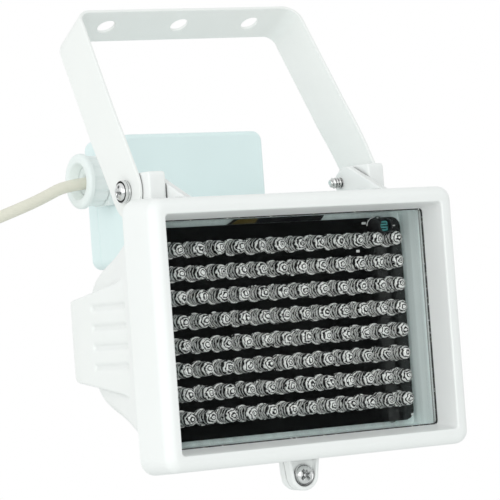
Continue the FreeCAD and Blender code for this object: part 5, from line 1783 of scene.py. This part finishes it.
@dataclass
class Screws:
    """Cross-recess pan screws of one size, at several places and facing one axis.

    Args:
        node: The node that they stand for.
        head: The radius and the height of each head.
        shank: The radius and the length of each shank.
        places: The places of the faces under the heads.
        axis: The axis that the screws lie along.
        ways: For each screw, the sense of the axis in which its head stands.
        pitch: The length of one turn of the thread.
        depth: The depth of the thread.
        groove: The height of the groove's floor, as a share of the head's.
        wide: How much wider the groove is, as a share of the head's radius.
        turn: The turn of the first cross, in degrees.
        next_turn: How much further each next cross is turned.
        cross: Its length and width, as shares of the head's radius.
        crown_turns: Where the crown's rings lie, in degrees.
    """

    node: str
    head: Pair
    shank: Pair
    places: Sequence[Triple]
    axis: Axis
    ways: tuple[int, ...]
    pitch: float = 0.7
    depth: float = 0.36
    groove: float = 0.34
    wide: float = 0.0
    turn: float = 20.0
    next_turn: float = 37.0
    cross: Pair = (0.58, 0.15)
    crown_turns: tuple[int, ...] = (15, 30, 45, 60, 75)

    def profile(self) -> Outline:
        """Gives the section of one head, from its rim over the pressed groove to its crown.

        Returns:
            Radii and heights.
        """
        radius, height = self.head
        floor = height * self.groove
        inner, crown = radius * (0.88 - self.wide), radius * (0.86 - self.wide)
        turns = [math.radians(turn) for turn in self.crown_turns]
        dome = [(crown * math.cos(turn) ** 0.8, height * (0.4 + 0.6 * math.sin(turn))) for turn in turns]
        return [(0.0, 0.0), (radius - 0.45, 0.0), (radius - 0.08, 0.2), (radius, 0.4), (radius, height * 0.4),
                (radius * 0.97, height * 0.46), (radius * 0.94, height * 0.46), (radius * 0.92, floor),
                (inner, floor), (crown, height * 0.42), *dome, (0.0, height)]

    def recess(self, spot: Triple, way: int, spin: float) -> Form:
        """Draws the tapered cross that is cut from one head.

        Args:
            spot: The place of the face under the head.
            way: The sense of the axis in which the head stands.
            spin: The turn of the cross, in degrees.

        Returns:
            The cross.
        """
        radius, height = self.head
        long, narrow = (radius * share for share in self.cross)
        middle, first, second = (spot[index] for index in self.axis.value)
        rings = []
        for share, depth in ((1.15, height + 0.3), (1.0, height * 0.8), (0.45, height * 0.25)):
            half, thin = long * share, narrow * (0.6 + 0.5 * share)
            outline = []
            for quarter in range(4):
                angle = math.radians(spin + 90.0 * quarter)
                for u, v in ((half, -thin), (half, thin), (thin, thin)):
                    outline.append((first + u * math.cos(angle) - v * math.sin(angle),
                                    second + u * math.sin(angle) + v * math.cos(angle)))
            rings.append(stand(outline, middle + way * depth, self.axis))
        return Form().skin(rings)

    def build(self) -> bpy.types.Object:
        """Builds the screws with their threads.

        Returns:
            The heads, as one piece.
        """
        heads, crosses, threads = Form(), Form(), Form()
        radius, length = self.shank
        play, overlap = 0.02, 0.2
        for index, (spot, way) in enumerate(zip(self.places, self.ways)):
            heads.lathe([(reach, way * along) for reach, along in self.profile()], spot, self.axis, 40)
            crosses.add(self.recess(spot, way, self.turn + self.next_turn * index))
            threads.thread(radius - play, self.depth, self.pitch, overlap * way, -way * length, spot,
                           self.axis)
        piece = heads.make(f"{self.node}_heads")
        carve(piece, Cut.AWAY, crosses.make(f"{self.node}_crosses"), crease=30.0)
        join_node(threads.make(f"{self.node}_threads", 60.0), SHADED_THREAD_ZINC, self.node)
        return settle(piece, ZINC, self.node)


@dataclass
class SpringWashers:
    """The two split spring washers under the pivot heads.

    Args:
        faces: How far out their two faces stand.
        radii: Their outer and inner radius.
        gap: The angle that the split takes, in degrees.
        gap_turn: Where the split is.
        runs: The runs round one washer.
    """

    pivot: Pair = PIVOT
    faces: Pair = (48.8, 49.7)
    radii: Pair = (3.8, 2.1)
    edge: float = 0.2
    gap: float = 9.0
    gap_turn: float = 100.0
    runs: int = 48

    def build(self) -> None:
        """Builds both washers, each split once."""
        outer, inner = self.radii
        low, high = self.faces
        back, height = self.pivot
        section = rounded((outer - inner) / 2, (high - low) / 2, self.edge,
                          (outer + inner) / 2, (low + high) / 2, steps=3)
        form = Form()
        for side in (-1, 1):
            rings = []
            for step in range(self.runs + 1):
                angle = math.radians(self.gap_turn + self.gap / 2 + (360.0 - self.gap) * step / self.runs)
                rings.append([Vector((side * along, back + radius * math.cos(angle),
                                      height + radius * math.sin(angle))) for radius, along in section])
            form.skin(rings)
        settle(form.make("pivot_spring_washers", 45.0), ZINC, "pivot_washers")


@dataclass
class Fasteners:
    """Every screw that shows, and the washers of the pivots.

    Args:
        frame_spot: The place under the frame screw's head.
        tray_screw: How far the tray screws stand out, across and up.
        tray_floor: How deep the tray's floor lies.
    """

    box: TerminalBox = field(default_factory=TerminalBox)
    washers: SpringWashers = field(default_factory=SpringWashers)
    frame_spot: Triple = (0.0, 15.4, -50.4)
    tray_screw: Pair = (44.0, 33.6)
    tray_floor: float = 25.1

    def build(self) -> None:
        """Builds the screws of the pivots, the frame, the tray and the cover."""
        across, up = self.tray_screw
        pivots = [(side * self.washers.faces[1], *PIVOT) for side in (-1, 1)]
        tray = [(side * across, self.tray_floor, end * up) for side, end in CORNERS]
        cover = self.box.screw_spots(self.box.cover_span[1] - self.box.well_depth)
        Screws("pivot_screws", (3.9, 2.6), (2.0, 16.2), pivots, Axis.X, (-1, 1), pitch=1.15, depth=0.62,
               groove=0.12, wide=0.07).build()
        Screws("frame_screw", (3.7, 2.3), (2.0, 6.6), [self.frame_spot], Axis.Y, (-1,), groove=0.4,
               turn=35.0).build()
        Screws("tray_screws", (2.7, 1.0), (1.5, 3.6), tray, Axis.Y, (-1,) * 4, pitch=0.5).build()
        Screws("cover_screws", (2.7, 1.0), (1.5, 10.1), cover, Axis.Y, (1,) * 4, pitch=0.5).build()
        self.washers.build()


@dataclass
class Plug:
    """The moulded plug on the cable's end, with its ribbed neck and grip.

    Args:
        spot: The place where the neck starts.
        neck: The neck's radius at its start and at its root, and its length.
        shoulder: The height of the slope between neck and grip.
        neck_ribs: How many grooves the neck has, where the first starts, and how far apart they are.
        grip_ribs: The same of the grip, from the neck's root.
        neck_groove: A groove's depth, where its floor starts and ends, and where it ends.
        grip_groove: The same of the grip.
    """

    spot: Triple = (-107.88, 115.2, -18.7)
    neck: Triple = (2.7, 3.3, 9.0)
    radius: float = 5.2
    length: float = 18.0
    shoulder: float = 1.6
    neck_ribs: tuple[int, float, float] = (5, 1.0, 1.5)
    grip_ribs: tuple[int, float, float] = (6, 4.0, 1.7)
    neck_groove: tuple[float, ...] = (0.45, 0.25, 0.7, 0.95)
    grip_groove: tuple[float, ...] = (0.3, 0.3, 0.8, 1.1)

    def groove(self, radius: float, start: float, shape: tuple[float, ...]) -> Outline:
        """Gives the section of one groove.

        Args:
            radius: The radius round it.
            start: Where it starts.
            shape: Its depth, and how far down its floor starts, its floor ends and it ends.

        Returns:
            Radii and heights.
        """
        depth, floor, rise, end = shape
        inner = radius - depth
        return [(radius, start), (inner, start - floor), (inner, start - rise), (radius, start - end)]

    def build(self) -> None:
        """Builds the plug's moulding."""
        tip, root, neck_length = self.neck
        outer, shoulder = self.radius, -neck_length - self.shoulder
        low = -neck_length - self.length
        profile = [(0.0, 0.0), (tip - 0.3, 0.0), (tip, -0.3)]
        count, first, apart = self.neck_ribs
        for rib in range(count):
            start = -first - rib * apart
            profile += self.groove(tip + (root - tip) * (-start / neck_length), start, self.neck_groove)
        profile += [(root, -neck_length), (outer - self.shoulder, -neck_length),
                    (outer - 0.4, shoulder + 0.3), (outer, shoulder - 0.2)]
        count, first, apart = self.grip_ribs
        for rib in range(count):
            profile += self.groove(outer, -neck_length - first - rib * apart, self.grip_groove)
        profile += [(outer, low + 0.5), (outer - 0.5, low), (0.0, low)]
        settle(Form().lathe(profile, self.spot, Axis.Z).make("plug_moulding"), PLUG_PLASTIC, "power_plug")


@dataclass
class PowerCable:
    """The cable from the box through the gland, and its put-away coil, up to where the plug starts.

    Args:
        exit: Where it leaves the gland; not used.
        route: Its points from the box to the coil.
        coil_centre: The coil's middle, to the back and up.
        coil_entry: The angle at which it enters the coil, in degrees.
        coil_tail: How far it runs straight from the coil to the plug.
    """

    diameter: float = 4.2
    exit: Triple = (-42.5, 82.2, 56.3)
    route: tuple[Triple, ...] = (
        (-18.0, 82.2, 56.3), (-44.5, 82.2, 56.3), (-58.0, 82.2, 50.3), (-71.0, 82.2, 45.9),
        (-81.5, 82.2, 42.6), (-89.9, 85.7, 36.5), (-94.6, 92.0, 28.7), (-94.6, 98.71, 22.01),
    )
    coil_centre: Pair = (93.9, -3.3)
    coil_start: float = -94.6
    coil_radius: float = 21.3
    coil_turns: float = 3.125
    coil_pitch: float = 4.25
    coil_entry: float = 45.0
    coil_tail: float = 15.4
    steps: int = 16
    length: float = 544.9

    def turns(self) -> list[Triple]:
        """Gives the points of the coil, each where two tangents of the round turn meet.

        Returns:
            The points.
        """
        points = []
        step = math.tau / self.steps
        reach = self.coil_radius / math.cos(step / 2)
        for index in range(round(self.steps * self.coil_turns)):
            angle = math.radians(self.coil_entry) + step * (index + 0.5)
            across = self.coil_start - self.coil_pitch * (index + 0.5) / self.steps
            points.append((across, self.coil_centre[0] + reach * math.sin(angle),
                           self.coil_centre[1] + reach * math.cos(angle)))
        return points

    def build(self) -> bpy.types.Object:
        """Returns:
            The cable.
        """
        end = (self.coil_start - self.coil_pitch * self.coil_turns, self.coil_centre[0] + self.coil_radius,
               self.coil_centre[1] - self.coil_tail)
        points = [*self.route, *self.turns(), end]
        curve = bpy.data.curves.new("power_cable_sheath", "CURVE")
        curve.dimensions = "3D"
        spline = curve.splines.new("NURBS")
        spline.points.add(len(points) - 1)
        for spot, point in zip(spline.points, points):
            spot.co = (*place(point), 1.0)
        spline.order_u = 3
        spline.use_endpoint_u = True
        spline.resolution_u = 8
        curve.bevel_depth = self.diameter / 2 * MM
        curve.bevel_resolution = 6
        curve.use_fill_caps = True
        cable = put_up("power_cable_sheath", curve)
        settle(cable, CREAM_SHEATH, "power_cable", "cable_coil")
        return cable


@dataclass
class Viewpoint:
    """The camera, fitted to the photographed frame, board and bracket.

    Args:
        yaw: How far it looks to the right, in degrees.
        pitch: How far it looks down.
        roll: How far it is turned about its line of sight.
        lens: Its focal length in millimetres, for the sensor's width.
        clip: The nearest and farthest that it sees, in metres.
    """

    place: Triple = (-475.496, -726.828, 2.781)
    yaw: float = 31.846
    pitch: float = -1.563
    roll: float = 4.188
    lens: float = 187.08
    sensor: float = 36.0
    clip: Pair = (0.02, 20.0)

    def build(self) -> bpy.types.Object:
        """Makes the camera and sets it as the scene's.

        Returns:
            The camera.
        """
        yaw, pitch, roll = (math.radians(angle) for angle in (self.yaw, self.pitch, self.roll))
        ahead = Vector((math.sin(yaw) * math.cos(pitch), math.cos(yaw) * math.cos(pitch), -math.sin(pitch)))
        level = Vector((math.cos(yaw), -math.sin(yaw), 0.0))
        rise = level.cross(ahead)
        right = level * math.cos(roll) - rise * math.sin(roll)
        up = rise * math.cos(roll) + level * math.sin(roll)
        data = bpy.data.cameras.new("viewpoint")
        data.lens = self.lens
        data.sensor_width = self.sensor
        data.clip_start, data.clip_end = self.clip
        camera = put_up("viewpoint", data)
        turn = Matrix((right, up, -ahead)).transposed().to_4x4()
        camera.matrix_world = Matrix.Translation(place(self.place)) @ turn
        bpy.context.scene.camera = camera
        return camera


@dataclass(frozen=True)
class Lamp:
    """One square soft lamp.

    Args:
        name: Its name.
        spot: Its place in metres.
        power: Its power in watts.
        size: Its width in metres.
        aim: The point that it faces, in metres.
    """

    name: str
    spot: Triple
    power: float
    size: float = 0.8
    aim: Triple = (0.0, -0.03, -0.1)

    def build(self) -> None:
        """Hangs the lamp."""
        data = bpy.data.lights.new(self.name, "AREA")
        data.size = self.size
        data.energy = self.power
        data.color = (1.0, 1.0, 1.0)
        lamp = put_up(self.name, data)
        lamp.location = self.spot
        lamp.rotation_mode = "QUATERNION"
        lamp.rotation_quaternion = (Vector(self.aim) - Vector(self.spot)).to_track_quat("-Z", "Y")


@dataclass
class Studio:
    """A pale floor well below the part, a white surround, two soft lamps and a dark card.

    Args:
        floor_drop: How far the floor lies below the part, in metres.
        floor_half: Half of its width in metres.
        floor_lift: The share of white in what is seen of it.
        surround: The strength of the surround's light.
        card_spot: The middle of the dark card.
        card_half: Half of its width and height in metres.
        hidden_from: The rays that don't meet the card.
    """

    floor_drop: float = 0.45
    floor_half: float = 3.0
    floor_colour: Colour = (0.86, 0.87, 0.865)
    floor_lift: float = 0.85
    surround: float = 0.8
    surround_colour: Colour = (0.97, 1.0, 0.99)
    lamps: tuple[Lamp, ...] = (
        Lamp("key_lamp", (-1.25, -0.32, 0.12), 3.15),
        Lamp("fill_lamp", (-0.6, -1.25, 0.1), 3.6),
    )
    card_spot: Triple = (640.0, -1010.0, 40.0)
    card_half: Pair = (0.42, 0.42)
    card_colour: Colour = (0.012, 0.012, 0.012)
    hidden_from: tuple[str, ...] = ("camera", "diffuse", "shadow", "volume_scatter")

    def stand_by(self, name: str, corners: Sequence[Sequence[float]], sheet: NodeSheet) -> bpy.types.Object:
        """Puts up one flat sheet that isn't part of the illuminator.

        Args:
            name: Its name.
            corners: Its four corners in metres, in order.
            sheet: The nodes of its material.

        Returns:
            The sheet.
        """
        mesh = bpy.data.meshes.new(name)
        mesh.from_pydata(corners, [], [(0, 1, 2, 3)])
        mesh.materials.append(sheet.material)
        thing = put_up(name, mesh)
        return thing

    def white_surround(self) -> None:
        """Lights the scene from all round, and shows pure white to sight, gloss and glass."""
        world = bpy.data.worlds.new("white_surround")
        bpy.context.scene.world = world
        world.use_nodes = True
        bench = NodeBench(world.node_tree)
        plain = bench.nodes["Background"]
        plain.inputs["Color"].default_value = (*self.surround_colour, 1.0)
        plain.inputs["Strength"].default_value = self.surround
        path = bench.add("LightPath", {}).outputs
        seen = path["Is Camera Ray"]
        for other in ("Is Glossy Ray", "Is Transmission Ray"):
            seen = bench.work("MAXIMUM", seen, path[other])
        white = bench.add("Background", {"Color": (1.0, 1.0, 1.0, 1.0), "Strength": 1.0})
        output = bench.nodes["World Output"].inputs["Surface"]
        bench.blend(seen, plain.outputs[0], white.outputs[0], output)

    def pale_floor(self) -> None:
        """Lays the floor."""
        side, height = self.floor_half, CAD_BOX[0][2] - self.floor_drop
        sheet = NodeSheet("pale_floor")
        sheet.set(Base_Color=(*self.floor_colour, 1.0), Roughness=0.9)
        sheet.lift_to_sight(self.floor_lift)
        corners = [(-side, -side, height), (side, -side, height), (side, side, height), (-side, side, height)]
        self.stand_by("studio_floor", corners, sheet)

    def dark_card(self) -> None:
        """Stands a dark card where the front glass and the board mirror it, out of sight itself."""
        centre = place(self.card_spot)
        facing = (centre - HOME).to_track_quat("Z", "Y")
        width, height = self.card_half
        corners = [centre + facing @ Vector((side * width, end * height, 0.0))
                   for side, end in ((-1, -1), (1, -1), (1, 1), (-1, 1))]
        sheet = NodeSheet("dark_cloth")
        sheet.set(Base_Color=(*self.card_colour, 1.0), Roughness=1.0, Specular_IOR_Level=0.0)
        card = self.stand_by("dark_card", corners, sheet)
        for ray in self.hidden_from:
            setattr(card, f"visible_{ray}", False)

    def build(self) -> None:
        """Makes the surround, the floor, the lamps and the dark card."""
        bpy.context.scene.view_settings.view_transform = "Standard"
        self.white_surround()
        self.pale_floor()
        for lamp in self.lamps:
            lamp.build()
        self.dark_card()


# The illuminator's sub-assemblies, in the order in which they are built.
ASSEMBLIES: tuple[type, ...] = (
    Plug, PowerCable, FrontFrame, Glazing, ReflectorTray, EmitterBoard, Housing, TerminalBox, CableGland,
    Bracket, Fasteners,
)


def main() -> None:
    """Builds the studio, the camera and each sub-assembly in order, and dresses what keeps its mesh."""
    logging.basicConfig(level=logging.INFO, format="%(message)s")
    Studio().build()
    Viewpoint().build()
    for assembly in ASSEMBLIES:
        assembly().build()
    for node, thing in frame["nodes"].items():
        if not thing.hide_render:
            dress_node(node)


if __name__ == "__main__":
    main()
